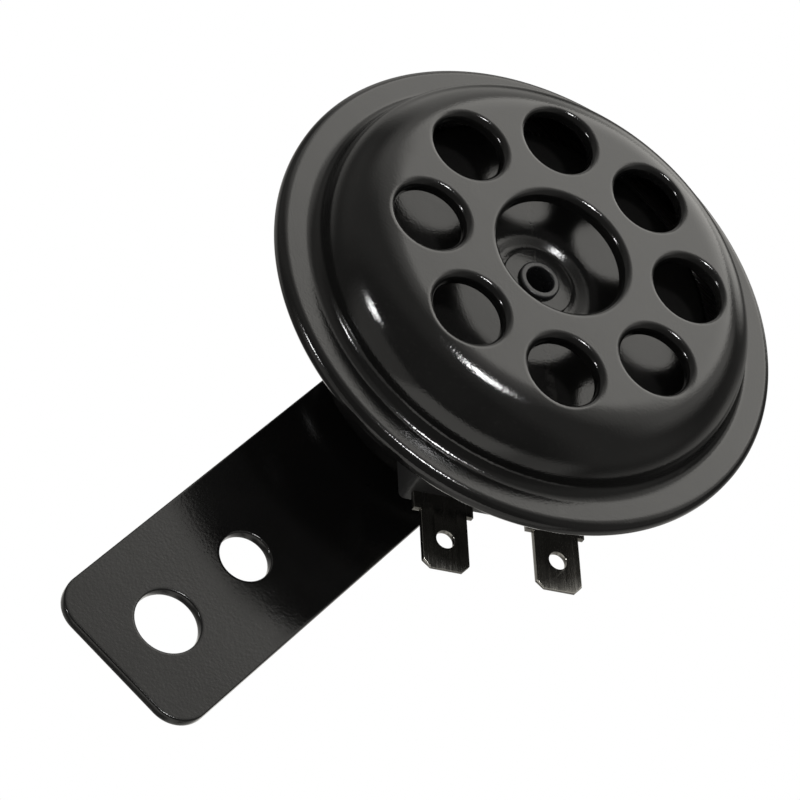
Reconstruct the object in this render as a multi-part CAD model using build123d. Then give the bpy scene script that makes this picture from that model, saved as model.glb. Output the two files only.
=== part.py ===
from build123d import *
import os
from math import cos, radians, sin, sqrt, tan

# A 12 V disc horn of the electromagnetic kind, 70 mm across, on a flat steel strip bracket.
# Sizes are in mm. Every piece is drawn in the horn's own frame: +Z runs forward along the
# horn's axis, the front face of the cover is z = 0, and the bracket points along +Y.
# place() then stands the horn up: sound leaves towards -Y, the bracket points along +Z, and
# the origin is the centre of the large bracket hole, on the bracket's rear face.

# Front cover, pressed from sheet
cover_radius = 35.0
cover_sheet = 0.7
dome_depth = 8.0
shoulder_radius = 7.5
shoulder_reach = 0.7
wall_draft = 10.0
wall_foot_width = 0.9
foot_fillet = 0.35
foot_rise = 0.1
bead_width = 1.1
bead_rise = 0.55
bead_fillet = 0.9
rim_flat_width = 3.1
rim_corner = 0.75
hem_width = 3.0
opening_radius = 8.9
opening_lip = 2.0
lip_fillet = 1.0
lip_share_of_gap = 0.35
sound_hole_count = 8
sound_hole_radius = 4.8
sound_hole_shift = -0.6
sound_hole_phase = 84.4
sound_hole_lip = 1.9
rim_edge_tolerance = 0.01

# Clamped rim: gasket, diaphragm, gasket, housing flange, inside the cover's hem
gasket_thickness = 0.3
gasket_width = 2.2
diaphragm_thickness = 0.3
wave_inset = 11.2
wave_width = 4.0
wave_height = 0.8
wave_root_fillet = 1.0
wave_crest_fillet = 1.5
rim_side_gap = 0.1

# Rear housing, a drawn steel cup
housing_sheet = 0.7
flange_width = 5.0
flange_fillet = 1.2
cone_width = 6.0
cone_depth = 3.7
cone_fillet = 2.0
cup_length = 14.2
cup_corner = 2.5

# Vibrating stack, from the rivet head back to the plunger
rivet_head_overhang = 0.4
rivet_head_thickness = 0.6
rivet_shank_radius = 2.4
rivet_wall = 0.5
rivet_clearance = 0.05
rivet_engagement = 3.2
hub_washer_radius = 4.9
hub_washer_thickness = 0.6
tone_disc_thickness = 0.8
tone_disc_flat_radius = 5.9
tone_disc_slope_radius = 7.5
tone_disc_clearance = 3.5
tone_disc_dish = 0.6
tone_disc_edge_drop = 0.5
tone_disc_edge_fillet = 1.2
tone_disc_root_fillet = 1.6
tone_disc_crest_fillet = 3.0
spacer_radius = 7.5
front_spacer_thickness = 0.6
rear_spacer_thickness = 0.8
armature_margin = 1.2
armature_thickness = 2.2
armature_chamfer = 0.3
plunger_radius = 5.6
plunger_length = 1.7
armature_travel = 0.4
magnet_clearance = 0.15

# Magnet: yoke plate, core with its threaded stud, coil
yoke_thickness = 2.0
stud_radius = 3.0
stud_clearance = 0.1
stud_length_past_nut = 1.5
stud_chamfer = 0.6
bobbin_gap = 0.5
bobbin_wall = 0.8
bobbin_set_back = 1.45
core_clearance = 0.15
winding_inset = 0.4

# Contact breaker, opposite the terminals, drawn with +X towards it
breaker_wall_margin = 4.5
breaker_width = 4.1
breaker_start_margin = 3.5
breaker_stack_length = 7.0
breaker_tag_length = 2.0
breaker_clearance = 0.8
breaker_bracket_sheet = 1.0
strip_insulator_thickness = 0.6
middle_insulator_thickness = 1.2
moving_arm_thickness = 0.3
moving_arm_overhang = 1.6
fixed_arm_thickness = 0.8
fixed_arm_width = 2.8
fixed_arm_overhang = 2.0
contact_radius = 1.2
contact_to_screw = 3.4
clamp_plate_thickness = 0.6
clamp_rivet_radius = 0.8
clamp_rivet_head_radius = 1.3
clamp_rivet_head = 0.4
clamp_rivet_margin = 0.1
push_pin_radius = 0.7
push_pin_inset = 0.4
push_pin_shift = 1.2
push_pin_gap = 0.05

# Adjusting screw through the floor of the housing
screw_radius = 1.5
screw_inset = 1.8
screw_end_margin = 5.5
screw_nut_radius = 2.6
screw_nut_length = 2.5
screw_stand_out = 1.0
screw_slot_width = 0.5
screw_slot_depth = 0.7
seal_radius = 2.6
seal_height = 0.6
foot_rivet_radius = 1.2
foot_rivet_head_radius = 2.2
foot_rivet_head = 0.6
foot_rivet_upset_radius = 1.8

# Terminals: 6.3 x 0.8 mm tabs in a moulded block, drawn with +X out of the housing
terminal_angle = 132.8
block_lift = 3.7
block_depth = 5.5
block_wall = 1.8
block_side_wall = 1.05
block_corner = 0.8
tongue_side_margin = 2.0
tongue_wall = 1.0
tongue_reach = 3.7
tongue_overlap = 1.0
window_clearance = 0.1
tab_set_back = 3.1
tab_thickness = 0.8
tab_width = 6.3
tab_length = 8.2
tab_corner = 1.0
tab_edge_bevel = 0.2
tab_hole_radius = 1.25
tab_hole_from_tip = 4.3
tab_spacing = 15.7
tab_shoulder_width = 8.2
tab_shoulder_stand_out = 2.4
tab_anchor_length = 3.8
tab_tail_width = 3.6
tab_tail_length = 1.6

# Leads inside the housing
lead_radius = 0.35
lead_margin = 2.6
lead_first_angle = 135.0
lead_last_angle = 38.0
lead_turn_count = 6
lead_drop_count = 4
lead_bend = 1.2
lead_coil_depth = 1.0

# Bracket and its fastening
spacer_washer_radius = 8.0
spacer_washer_thickness = 2.0
bracket_thickness = 1.5
bracket_width = 22.6
bracket_corner = 4.2
bracket_end_margin = 9.7
bracket_foot_margin = 11.3
large_hole_radius = 4.25
small_hole_radius = 3.4
hole_spacing = 14.9
axis_to_large_hole = 61.2
lock_washer_radius = 5.9
lock_washer_thickness = 1.6
lock_washer_gap = 1.0
nut_across_flats = 10.0
nut_height = 5.0

# Extra reach of every cut past the faces that it opens
cut_reach = 1.0

# Radii of the cover, from its rim inwards
hem_inner_radius = cover_radius - hem_width
bead_outer_radius = cover_radius - rim_flat_width
bead_radius = bead_outer_radius - bead_width
wall_foot_radius = bead_radius - wall_foot_width
wall_top_radius = wall_foot_radius - (dome_depth - foot_rise) * tan(radians(wall_draft))
sound_hole_circle = (opening_radius + wall_top_radius) / 2 + sound_hole_shift

# The shoulder ends just inside the outer edges of the sound holes, and their lips leave a flat between them
shoulder_room = wall_top_radius - sound_hole_circle - sound_hole_radius + shoulder_reach
shoulder_fillet = min(shoulder_radius, shoulder_room / tan(radians((90 - wall_draft) / 2)))
sound_hole_gap = 2 * (sound_hole_circle * sin(radians(180 / sound_hole_count)) - sound_hole_radius)
sound_hole_fillet = min(lip_fillet, lip_share_of_gap * sound_hole_gap)

# Levels of the clamped rim and the housing, from the front face back
flange_front = -dome_depth
front_gasket_front = flange_front - cover_sheet
diaphragm_front = front_gasket_front - gasket_thickness
rear_gasket_front = diaphragm_front - diaphragm_thickness
housing_front = rear_gasket_front - gasket_thickness
hem_front = housing_front - housing_sheet
hem_rear = hem_front - cover_sheet
housing_rear = hem_front - cone_depth - cup_length
floor_front = housing_rear + housing_sheet

# Radii of the clamped rim and the housing, from the rim inwards
clamped_radius = cover_radius - cover_sheet - rim_side_gap
gasket_inner_radius = clamped_radius - gasket_width
wave_radius = clamped_radius - wave_inset
flange_inner_radius = clamped_radius - flange_width
cup_radius = flange_inner_radius - cone_width
cup_inner_radius = cup_radius - housing_sheet

# Vibrating stack: forward of the diaphragm, then behind it
front_spacer_front = diaphragm_front + front_spacer_thickness
tone_disc_centre_front = front_spacer_front + tone_disc_thickness
tone_disc_front = tone_disc_centre_front + tone_disc_dish
hub_washer_front = tone_disc_centre_front + hub_washer_thickness
rivet_front = hub_washer_front + rivet_head_thickness
rear_spacer_front = diaphragm_front - diaphragm_thickness
armature_front = rear_spacer_front - rear_spacer_thickness
armature_rear = armature_front - armature_thickness
plunger_rear = armature_rear - plunger_length
tone_disc_radius = wall_top_radius - tone_disc_clearance
rivet_head_radius = rivet_shank_radius + rivet_head_overhang
rivet_bore_radius = rivet_shank_radius - rivet_wall
stack_bore_radius = rivet_shank_radius + rivet_clearance

# Contact breaker: its levels hang below the armature's full stroke, and its plan fits the round cup
clamp_front = armature_rear - armature_travel - breaker_clearance - clamp_rivet_head
front_insulator_front = clamp_front - clamp_plate_thickness
fixed_arm_front = front_insulator_front - strip_insulator_thickness
middle_insulator_front = fixed_arm_front - fixed_arm_thickness
moving_arm_front = middle_insulator_front - middle_insulator_thickness
rear_insulator_front = moving_arm_front - moving_arm_thickness
table_front = rear_insulator_front - strip_insulator_thickness
contact_height = middle_insulator_thickness / 2
breaker_outer_x = cup_inner_radius - breaker_wall_margin
breaker_inner_x = breaker_outer_x - breaker_width
breaker_mid_x = (breaker_inner_x + breaker_outer_x) / 2
fixed_arm_inner_x = breaker_outer_x - fixed_arm_width
contact_x = (fixed_arm_inner_x + breaker_outer_x) / 2
half_chord = sqrt(cup_inner_radius**2 - breaker_outer_x**2)
breaker_start_y = breaker_start_margin - half_chord
breaker_end_y = breaker_start_y + breaker_stack_length
screw_x = breaker_outer_x - screw_inset
screw_y = half_chord - screw_end_margin
fixed_arm_end_y = screw_y + fixed_arm_overhang
contact_y = screw_y - contact_to_screw
moving_arm_end_y = contact_y + moving_arm_overhang
push_pin_x = breaker_inner_x + push_pin_inset
push_pin_y = (breaker_end_y + contact_y) / 2 + push_pin_shift
armature_radius = push_pin_x + armature_margin

# Magnet, inside the breaker
yoke_front = floor_front + yoke_thickness
pole_face = plunger_rear - armature_travel - magnet_clearance
bobbin_front = pole_face - bobbin_set_back
bobbin_length = bobbin_front - yoke_front
bobbin_radius = breaker_inner_x - bobbin_gap
winding_radius = bobbin_radius - winding_inset
stud_hole_radius = stud_radius + stud_clearance

# Terminals, on the outside of the cup
block_rear = housing_rear + block_lift
block_front = block_rear + block_depth
block_outer_x = cup_radius + block_wall
block_half_width = (tab_spacing + tab_shoulder_width) / 2 + block_side_wall
tongue_half_width = block_half_width - tongue_side_margin
tongue_inner_x = cup_inner_radius - tongue_reach
tab_front = block_front - tab_set_back
tab_tip_x = block_outer_x + tab_shoulder_stand_out + tab_length
lead_circle = cup_inner_radius - lead_margin

# Levels of the fastening, behind the housing
spacer_washer_front = housing_rear
bracket_front = spacer_washer_front - spacer_washer_thickness
bracket_rear = bracket_front - bracket_thickness
nut_front = bracket_rear - lock_washer_thickness
nut_rear = nut_front - nut_height
stud_end = nut_rear - stud_length_past_nut


def place(shape):
    """Stand the horn up, with the origin at the large bracket hole's rear face."""
    return Location((0, bracket_rear, -axis_to_large_hole), (90, 0, 0)) * shape


def turned(shape, angle):
    """Turn a piece about the horn's axis."""
    return Rot(0, 0, angle) * shape


def revolved_sheet(corners, radii, thickness):
    """Revolve a bent sheet: corners are its outer line, the sheet lies on the line's left."""
    line = FilletPolyline(*corners, radius=radii)
    outline = offset(line, amount=thickness, side=Side.LEFT)
    return revolve(Plane.XZ * make_face(outline), Axis.Z)


def ring(outer_radius, inner_radius, front, thickness):
    """A flat ring whose front face is at the given level."""
    middle = Pos(0, 0, front - thickness / 2)
    return middle * (Cylinder(outer_radius, thickness) - Cylinder(inner_radius, 2 * thickness))


def rod(radius, front, rear, x=0.0, y=0.0):
    """A round rod along the axis, between two levels."""
    return Pos(x, y, (front + rear) / 2) * Cylinder(radius, front - rear)


def block(x_range, y_range, z_range):
    """A rectangular block between two corners."""
    (x0, x1), (y0, y1), (z0, z1) = x_range, y_range, z_range
    centre = Pos((x0 + x1) / 2, (y0 + y1) / 2, (z0 + z1) / 2)
    return centre * Box(x1 - x0, y1 - y0, z1 - z0)


def sound_hole_places():
    """Centres of the sound holes on their circle."""
    step = 360 / sound_hole_count
    angles = [radians(sound_hole_phase + step * k) for k in range(sound_hole_count)]
    return [(sound_hole_circle * cos(a), sound_hole_circle * sin(a)) for a in angles]


def front_cover():
    """Domed cover: rolled opening, eight flanged sound holes, bead and hemmed rim."""
    corners = [
        (hem_inner_radius, hem_rear),
        (cover_radius, hem_rear),
        (cover_radius, flange_front),
        (bead_outer_radius, flange_front),
        (bead_radius, flange_front + bead_rise),
        (wall_foot_radius, flange_front + foot_rise),
        (wall_top_radius, 0),
        (opening_radius, 0),
        (opening_radius, -opening_lip),
    ]
    radii = [rim_corner, rim_corner, foot_fillet, bead_fillet, foot_fillet, shoulder_fillet, lip_fillet]
    cover = revolved_sheet(corners, radii, cover_sheet)
    for x, y in sound_hole_places():
        cover += rod(sound_hole_radius + cover_sheet, -cover_sheet / 2, -sound_hole_lip, x, y)
    for x, y in sound_hole_places():
        cover -= rod(sound_hole_radius, cover_sheet, -dome_depth / 2, x, y)
    rims = []
    for x, y in sound_hole_places():
        rims += [
            e for e in cover.edges()
            if e.center().Z > -cover_sheet / 2
            and abs((e @ 0.5 - Vector(x, y, (e @ 0.5).Z)).length - sound_hole_radius) < rim_edge_tolerance
        ]
    return fillet(rims, sound_hole_fillet)


def clamped_ring(front, inner_radius, thickness):
    """A ring of the clamped rim."""
    return ring(clamped_radius, inner_radius, front, thickness)


def diaphragm():
    """Spring steel disc with one shallow round wave."""
    rear = diaphragm_front - diaphragm_thickness
    corners = [
        (stack_bore_radius, rear),
        (wave_radius - wave_width / 2, rear),
        (wave_radius, rear - wave_height),
        (wave_radius + wave_width / 2, rear),
        (clamped_radius, rear),
    ]
    radii = [wave_root_fillet, wave_crest_fillet, wave_root_fillet]
    return revolved_sheet(corners, radii, diaphragm_thickness)


def rear_housing():
    """Drawn cup with its flange, terminal window and the holes in its floor."""
    corners = [
        (stud_hole_radius, housing_rear),
        (cup_radius, housing_rear),
        (cup_radius, hem_front - cone_depth),
        (flange_inner_radius, hem_front),
        (clamped_radius, hem_front),
    ]
    cup = revolved_sheet(corners, [cup_corner, cone_fillet, flange_fillet], housing_sheet)
    half = tongue_half_width + window_clearance
    window = block(
        (tongue_inner_x, cup_radius + cut_reach),
        (-half, half),
        (block_rear + tongue_wall - window_clearance, block_front - tongue_wall + window_clearance),
    )
    cup -= turned(window, terminal_angle)
    top = floor_front + cut_reach
    bottom = housing_rear - cut_reach
    screw_hole = rod(screw_radius + stud_clearance, top, bottom, screw_x, screw_y)
    cup -= turned(screw_hole, breaker_angle())
    rivet_hole = rod(foot_rivet_radius, top, bottom, breaker_mid_x, foot_rivet_y())
    cup -= turned(rivet_hole, breaker_angle())
    return cup


def breaker_angle():
    """The breaker sits across the housing from the terminals."""
    return terminal_angle + 180


def foot_rivet_y():
    """Middle of the breaker bracket's foot, clear of its upright."""
    return breaker_start_y + (breaker_bracket_sheet + breaker_stack_length) / 2


def centre_rivet():
    """Hollow rivet that holds the vibrating stack together."""
    shank_end = armature_front - rivet_engagement
    head = rod(rivet_head_radius, rivet_front, hub_washer_front)
    head = fillet(head.edges().filter_by(GeomType.CIRCLE).group_by(Axis.Z)[-1], rivet_head_thickness / 2)
    shank = rod(rivet_shank_radius, hub_washer_front, shank_end)
    bore = rod(rivet_bore_radius, rivet_front + cut_reach, shank_end + rivet_head_thickness)
    return head + shank - bore


def tone_disc():
    """Dished sound plate: flat centre, steep bowl, flat outer ring with a turned edge."""
    rear = tone_disc_front - tone_disc_thickness
    centre_rear = tone_disc_centre_front - tone_disc_thickness
    corners = [
        (stack_bore_radius, centre_rear),
        (tone_disc_flat_radius, centre_rear),
        (tone_disc_slope_radius, rear),
        (tone_disc_radius - tone_disc_thickness, rear),
        (tone_disc_radius - tone_disc_thickness, rear - tone_disc_edge_drop),
    ]
    radii = [
        tone_disc_root_fillet + tone_disc_thickness,
        tone_disc_crest_fillet - tone_disc_thickness,
        tone_disc_edge_fillet - tone_disc_thickness,
    ]
    return revolved_sheet(corners, radii, tone_disc_thickness)


def armature():
    """Soft iron plate with the plunger that the core attracts."""
    plate = rod(armature_radius, armature_front, armature_rear)
    plate = chamfer(plate.edges().filter_by(GeomType.CIRCLE), armature_chamfer)
    plunger = rod(plunger_radius, armature_rear, plunger_rear)
    bore = rod(stack_bore_radius, armature_front + cut_reach, armature_front - rivet_engagement)
    return plate + plunger - bore


def push_pin():
    """Insulating pin on the armature that opens the breaker."""
    pin = rod(push_pin_radius, armature_rear, moving_arm_front + push_pin_gap, push_pin_x, push_pin_y)
    return turned(pin, breaker_angle())


def pole_core():
    """Turned iron core whose threaded stud carries the horn."""
    core = rod(plunger_radius, pole_face, yoke_front)
    stud = rod(stud_radius, yoke_front, stud_end)
    stud = chamfer(stud.edges().filter_by(GeomType.CIRCLE).group_by(Axis.Z)[0], stud_chamfer)
    return core + stud


def coil_bobbin():
    """Moulded bobbin with two flanges."""
    bore = plunger_radius + core_clearance
    tube = ring(bore + bobbin_wall, bore, bobbin_front, bobbin_length)
    front_flange = ring(bobbin_radius, bore, bobbin_front, bobbin_wall)
    rear_flange = ring(bobbin_radius, bore, yoke_front + bobbin_wall, bobbin_wall)
    return tube + front_flange + rear_flange


def coil_winding():
    """Enamelled copper winding, as one ring."""
    inner = plunger_radius + core_clearance + bobbin_wall
    return ring(winding_radius, inner, bobbin_front - bobbin_wall, bobbin_length - 2 * bobbin_wall)


def clamp_rivet_ys():
    """The two rivets that hold the breaker's strips together."""
    room = clamp_rivet_head_radius + clamp_rivet_margin
    return [breaker_start_y + breaker_bracket_sheet + room, breaker_end_y - room]


def breaker_strip(front, thickness, inner_x, end_y, tag=0.0):
    """One strip of the breaker's stack, with its rivet holes and solder tag."""
    strip = block((inner_x, breaker_outer_x), (breaker_start_y, end_y), (front - thickness, front))
    if tag:
        tag_x = (breaker_outer_x - tag, breaker_outer_x)
        tag_y = (breaker_start_y - breaker_tag_length, breaker_start_y)
        strip += block(tag_x, tag_y, (front - thickness, front))
    for y in clamp_rivet_ys():
        strip -= rod(clamp_rivet_radius, front + cut_reach, front - thickness - cut_reach, contact_x, y)
    return turned(strip, breaker_angle())


def breaker_bracket():
    """Folded steel bracket: foot on the housing floor, upright and table."""
    sheet = breaker_bracket_sheet
    x_range = (breaker_inner_x, breaker_outer_x)
    y_range = (breaker_start_y, breaker_end_y)
    foot = block(x_range, y_range, (floor_front, floor_front + sheet))
    table = block(x_range, y_range, (table_front - sheet, table_front))
    upright = block(x_range, (breaker_start_y, breaker_start_y + sheet), (floor_front, table_front))
    bracket = foot + table + upright
    for y in clamp_rivet_ys():
        table_rear = table_front - sheet
        bracket -= rod(clamp_rivet_radius, table_front + cut_reach, table_rear - cut_reach, contact_x, y)
    top = floor_front + sheet + cut_reach
    bracket -= rod(foot_rivet_radius, top, floor_front - cut_reach, breaker_mid_x, foot_rivet_y())
    return turned(bracket, breaker_angle())


def breaker_rivets():
    """Two rivets through the breaker's stack, as two solids."""
    rivets = []
    table_rear = table_front - breaker_bracket_sheet
    for y in clamp_rivet_ys():
        rivet = rod(clamp_rivet_radius, clamp_front, table_rear, contact_x, y)
        rivet += rod(clamp_rivet_head_radius, clamp_front + clamp_rivet_head, clamp_front, contact_x, y)
        rivet += rod(clamp_rivet_head_radius, table_rear, table_rear - clamp_rivet_head, contact_x, y)
        rivets.append(turned(rivet, breaker_angle()))
    return Compound(rivets)


def contact_point(front):
    """A round tungsten contact."""
    return turned(rod(contact_radius, front, front - contact_height, contact_x, contact_y), breaker_angle())


def foot_rivet():
    """Rivet that holds the breaker bracket to the housing floor."""
    y = foot_rivet_y()
    foot_front = floor_front + breaker_bracket_sheet
    rivet = rod(foot_rivet_radius, foot_front, housing_rear, breaker_mid_x, y)
    rivet += rod(foot_rivet_head_radius, housing_rear, housing_rear - foot_rivet_head, breaker_mid_x, y)
    rivet += rod(foot_rivet_upset_radius, foot_front + foot_rivet_head, foot_front, breaker_mid_x, y)
    return turned(rivet, breaker_angle())


def adjusting_screw():
    """Slotted screw that sets the fixed contact."""
    end = housing_rear - screw_stand_out
    screw = rod(screw_radius, middle_insulator_front, end, screw_x, screw_y)
    slot_z = (end, end + screw_slot_depth)
    slot_x = (screw_x - 2 * screw_radius, screw_x + 2 * screw_radius)
    slot_y = (screw_y - screw_slot_width / 2, screw_y + screw_slot_width / 2)
    return turned(screw - block(slot_x, slot_y, slot_z), breaker_angle())


def adjuster_nut():
    """Round nut riveted inside the housing floor."""
    nut_front_level = floor_front + screw_nut_length
    nut = rod(screw_nut_radius, nut_front_level, floor_front, screw_x, screw_y)
    nut -= rod(screw_radius, nut_front_level + cut_reach, floor_front - cut_reach, screw_x, screw_y)
    return turned(nut, breaker_angle())


def screw_seal():
    """Ring of sealing lacquer round the adjusting screw."""
    seal = rod(seal_radius, housing_rear, housing_rear - seal_height, screw_x, screw_y)
    seal = fillet(seal.edges().filter_by(GeomType.CIRCLE).group_by(Axis.Z)[0], seal_height * 0.8)
    bottom = housing_rear - seal_height - cut_reach
    seal -= rod(screw_radius, housing_rear + cut_reach, bottom, screw_x, screw_y)
    return turned(seal, breaker_angle())


def tab_centres():
    """The two tabs stand either side of the block's middle."""
    return [-tab_spacing / 2, tab_spacing / 2]


def terminal_block():
    """Moulded block seated on the housing, with a tongue through its window."""
    z_range = (block_rear, block_front)
    body = block((0, block_outer_x), (-block_half_width, block_half_width), z_range)
    body = fillet(body.edges().filter_by(Axis.Z).group_by(Axis.X)[-1], block_corner)
    body -= rod(cup_radius, 0, 2 * block_rear)
    tongue = block(
        (tongue_inner_x, block_outer_x - tongue_overlap),
        (-tongue_half_width, tongue_half_width),
        (block_rear + tongue_wall, block_front - tongue_wall),
    )
    body += tongue
    for y in tab_centres():
        body -= tab_plate(y)
    return turned(body, terminal_angle)


def tab_plate(centre_y):
    """Flat tab: solder tail, wide shoulder, blade with cut corners and a hole."""
    anchor_x = block_outer_x - tab_anchor_length
    shoulder_x = block_outer_x + tab_shoulder_stand_out
    shoulder_half = tab_shoulder_width / 2
    blade_half = tab_width / 2
    tail_half = tab_tail_width / 2
    half_outline = [
        (tongue_inner_x - tab_tail_length, tail_half),
        (anchor_x, tail_half),
        (anchor_x, shoulder_half),
        (shoulder_x, shoulder_half),
        (shoulder_x, blade_half),
        (tab_tip_x - tab_corner, blade_half),
        (tab_tip_x, blade_half - tab_corner),
    ]
    outline = half_outline + [(x, -y) for x, y in reversed(half_outline)]
    plate = extrude(make_face(Polyline(*outline, close=True)), tab_thickness)
    tip_edges = plate.edges().filter_by(Axis.Y).group_by(Axis.X)[-1]
    plate = chamfer(tip_edges, tab_edge_bevel)
    hole_x = tab_tip_x - tab_hole_from_tip
    plate -= Pos(hole_x, 0, 0) * Cylinder(tab_hole_radius, 4 * tab_thickness)
    return Pos(0, centre_y, tab_front - tab_thickness) * plate


def wire(points, radii):
    """A short lead along straight runs and arcs."""
    path = FilletPolyline(*points, radius=radii) if radii else Line(*points)
    section = Plane(origin=path @ 0, z_dir=path % 0) * Circle(lead_radius)
    return sweep(section, path=path)


def polar(radius, angle, z):
    """A point in the horn's frame from its distance and direction off the axis."""
    return (radius * cos(radians(angle)), radius * sin(radians(angle)), z)


def tail_point(centre_y, z):
    """The inner end of a tab's solder tail."""
    spot = turned(Pos(tongue_inner_x - tab_tail_length - lead_radius, centre_y, z), terminal_angle)
    return tuple(spot.position)


def terminal_lead():
    """Lead from the first terminal to the coil."""
    z = tab_front - tab_thickness / 2
    x, y, _ = tail_point(tab_centres()[0], z)
    reach = (winding_radius + lead_radius / 2) / (x * x + y * y) ** 0.5
    return wire([(x, y, z), (x * reach, y * reach, z)], [])


def tag_point(x, z):
    """A point just past the end of a solder tag of the breaker."""
    end_y = breaker_start_y - breaker_tag_length - lead_radius
    return tuple(turned(Pos(x, end_y, z), breaker_angle()).position)


def coil_lead():
    """Lead from the coil to the fixed contact."""
    z = middle_insulator_front + fixed_arm_thickness / 2
    x, y, _ = tag_point(fixed_arm_inner_x - 1.5 * lead_radius, z)
    reach = (winding_radius + lead_radius / 2) / (x * x + y * y) ** 0.5
    coil_z = bobbin_front - bobbin_wall - lead_coil_depth
    return wire([(x, y, z), (x * reach, y * reach, coil_z)], [])


def breaker_lead():
    """Lead round the housing from the moving contact to the second terminal."""
    start_z = moving_arm_front - moving_arm_thickness / 2
    tag = tag_point(breaker_outer_x - 3 * lead_radius, start_z)
    end_z = tab_front - tab_thickness / 2
    end = tail_point(tab_centres()[1], end_z)
    step = (lead_last_angle - lead_first_angle) / (lead_turn_count - 1)
    points = [tag]
    for k in range(lead_turn_count):
        angle = terminal_angle + lead_first_angle + step * k
        drop = min(1.0, (k + 1) / lead_drop_count)
        points.append(polar(lead_circle, angle, start_z + (end_z - start_z) * drop))
    points.append(end)
    return wire(points, [lead_bend] * lead_turn_count)


def mounting_bracket():
    """Flat strip with the stud hole and two mounting holes."""
    length = axis_to_large_hole + bracket_end_margin + bracket_foot_margin
    centre_y = (axis_to_large_hole + bracket_end_margin - bracket_foot_margin) / 2
    outline = Pos(0, centre_y) * RectangleRounded(bracket_width, length, bracket_corner)
    outline -= Circle(stud_hole_radius)
    outline -= Pos(0, axis_to_large_hole) * Circle(large_hole_radius)
    outline -= Pos(0, axis_to_large_hole - hole_spacing) * Circle(small_hole_radius)
    return Pos(0, 0, bracket_rear) * extrude(outline, bracket_thickness)


def lock_washer():
    """Split spring washer."""
    washer = ring(lock_washer_radius, stud_hole_radius, bracket_rear, lock_washer_thickness)
    half = lock_washer_gap / 2
    gap_z = (nut_front - cut_reach, bracket_rear + cut_reach)
    return washer - block((0, 2 * lock_washer_radius), (-half, half), gap_z)


def mounting_nut():
    """Hexagon nut with chamfered corners."""
    corner_radius = nut_across_flats / 2 / cos(radians(30))
    hexagon = Pos(0, 0, nut_rear) * extrude(RegularPolygon(corner_radius, 6), nut_height)
    cone_rear = Cone(nut_across_flats / 2, nut_across_flats / 2 + 2 * nut_height, 2 * nut_height)
    dome = Pos(0, 0, nut_rear + nut_height) * cone_rear
    return (hexagon & dome) - rod(stud_radius, nut_front + cut_reach, nut_rear - cut_reach)


arm_tag = breaker_outer_x - fixed_arm_inner_x
pieces = {
    "front_cover": front_cover(),
    "front_gasket": clamped_ring(front_gasket_front, gasket_inner_radius, gasket_thickness),
    "diaphragm": diaphragm(),
    "rear_gasket": clamped_ring(rear_gasket_front, gasket_inner_radius, gasket_thickness),
    "rear_housing": rear_housing(),
    "centre_rivet": centre_rivet(),
    "hub_washer": ring(hub_washer_radius, stack_bore_radius, hub_washer_front, hub_washer_thickness),
    "tone_disc": tone_disc(),
    "front_spacer": ring(spacer_radius, stack_bore_radius, front_spacer_front, front_spacer_thickness),
    "rear_spacer": ring(spacer_radius, stack_bore_radius, rear_spacer_front, rear_spacer_thickness),
    "armature": armature(),
    "push_pin": push_pin(),
    "pole_core": pole_core(),
    "yoke_plate": ring(bobbin_radius, stud_hole_radius, yoke_front, yoke_thickness),
    "coil_bobbin": coil_bobbin(),
    "coil_winding": coil_winding(),
    "breaker_bracket": breaker_bracket(),
    "rear_insulator": breaker_strip(
        rear_insulator_front, strip_insulator_thickness, breaker_inner_x, breaker_end_y
    ),
    "moving_contact_arm": breaker_strip(
        moving_arm_front, moving_arm_thickness, breaker_inner_x, moving_arm_end_y, arm_tag
    ),
    "moving_contact_point": contact_point(moving_arm_front + contact_height),
    "middle_insulator": breaker_strip(
        middle_insulator_front, middle_insulator_thickness, breaker_inner_x, breaker_end_y
    ),
    "fixed_contact_arm": breaker_strip(
        fixed_arm_front, fixed_arm_thickness, fixed_arm_inner_x, fixed_arm_end_y, arm_tag
    ),
    "fixed_contact_point": contact_point(middle_insulator_front),
    "front_insulator": breaker_strip(
        front_insulator_front, strip_insulator_thickness, fixed_arm_inner_x, breaker_end_y
    ),
    "clamp_plate": breaker_strip(clamp_front, clamp_plate_thickness, fixed_arm_inner_x, breaker_end_y),
    "breaker_rivets": breaker_rivets(),
    "foot_rivet": foot_rivet(),
    "adjusting_screw": adjusting_screw(),
    "adjuster_nut": adjuster_nut(),
    "screw_seal": screw_seal(),
    "terminal_block": terminal_block(),
    "coil_terminal": turned(tab_plate(tab_centres()[0]), terminal_angle),
    "breaker_terminal": turned(tab_plate(tab_centres()[1]), terminal_angle),
    "terminal_lead": terminal_lead(),
    "coil_lead": coil_lead(),
    "breaker_lead": breaker_lead(),
    "spacer_washer": ring(
        spacer_washer_radius, stud_hole_radius, spacer_washer_front, spacer_washer_thickness
    ),
    "mounting_bracket": mounting_bracket(),
    "lock_washer": lock_washer(),
    "mounting_nut": mounting_nut(),
}

os.makedirs("parts", exist_ok=True)
for name, shape in pieces.items():
    export_step(place(shape), f"parts/{name}.step")
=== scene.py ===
"""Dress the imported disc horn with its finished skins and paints, and light it on a pale studio floor."""

from __future__ import annotations

import logging
import math
from dataclasses import dataclass
from enum import Enum
from typing import Sequence

import bmesh
import bpy
import numpy as np
from mathutils import Matrix, Vector
from mathutils.geometry import tessellate_polygon

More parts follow.
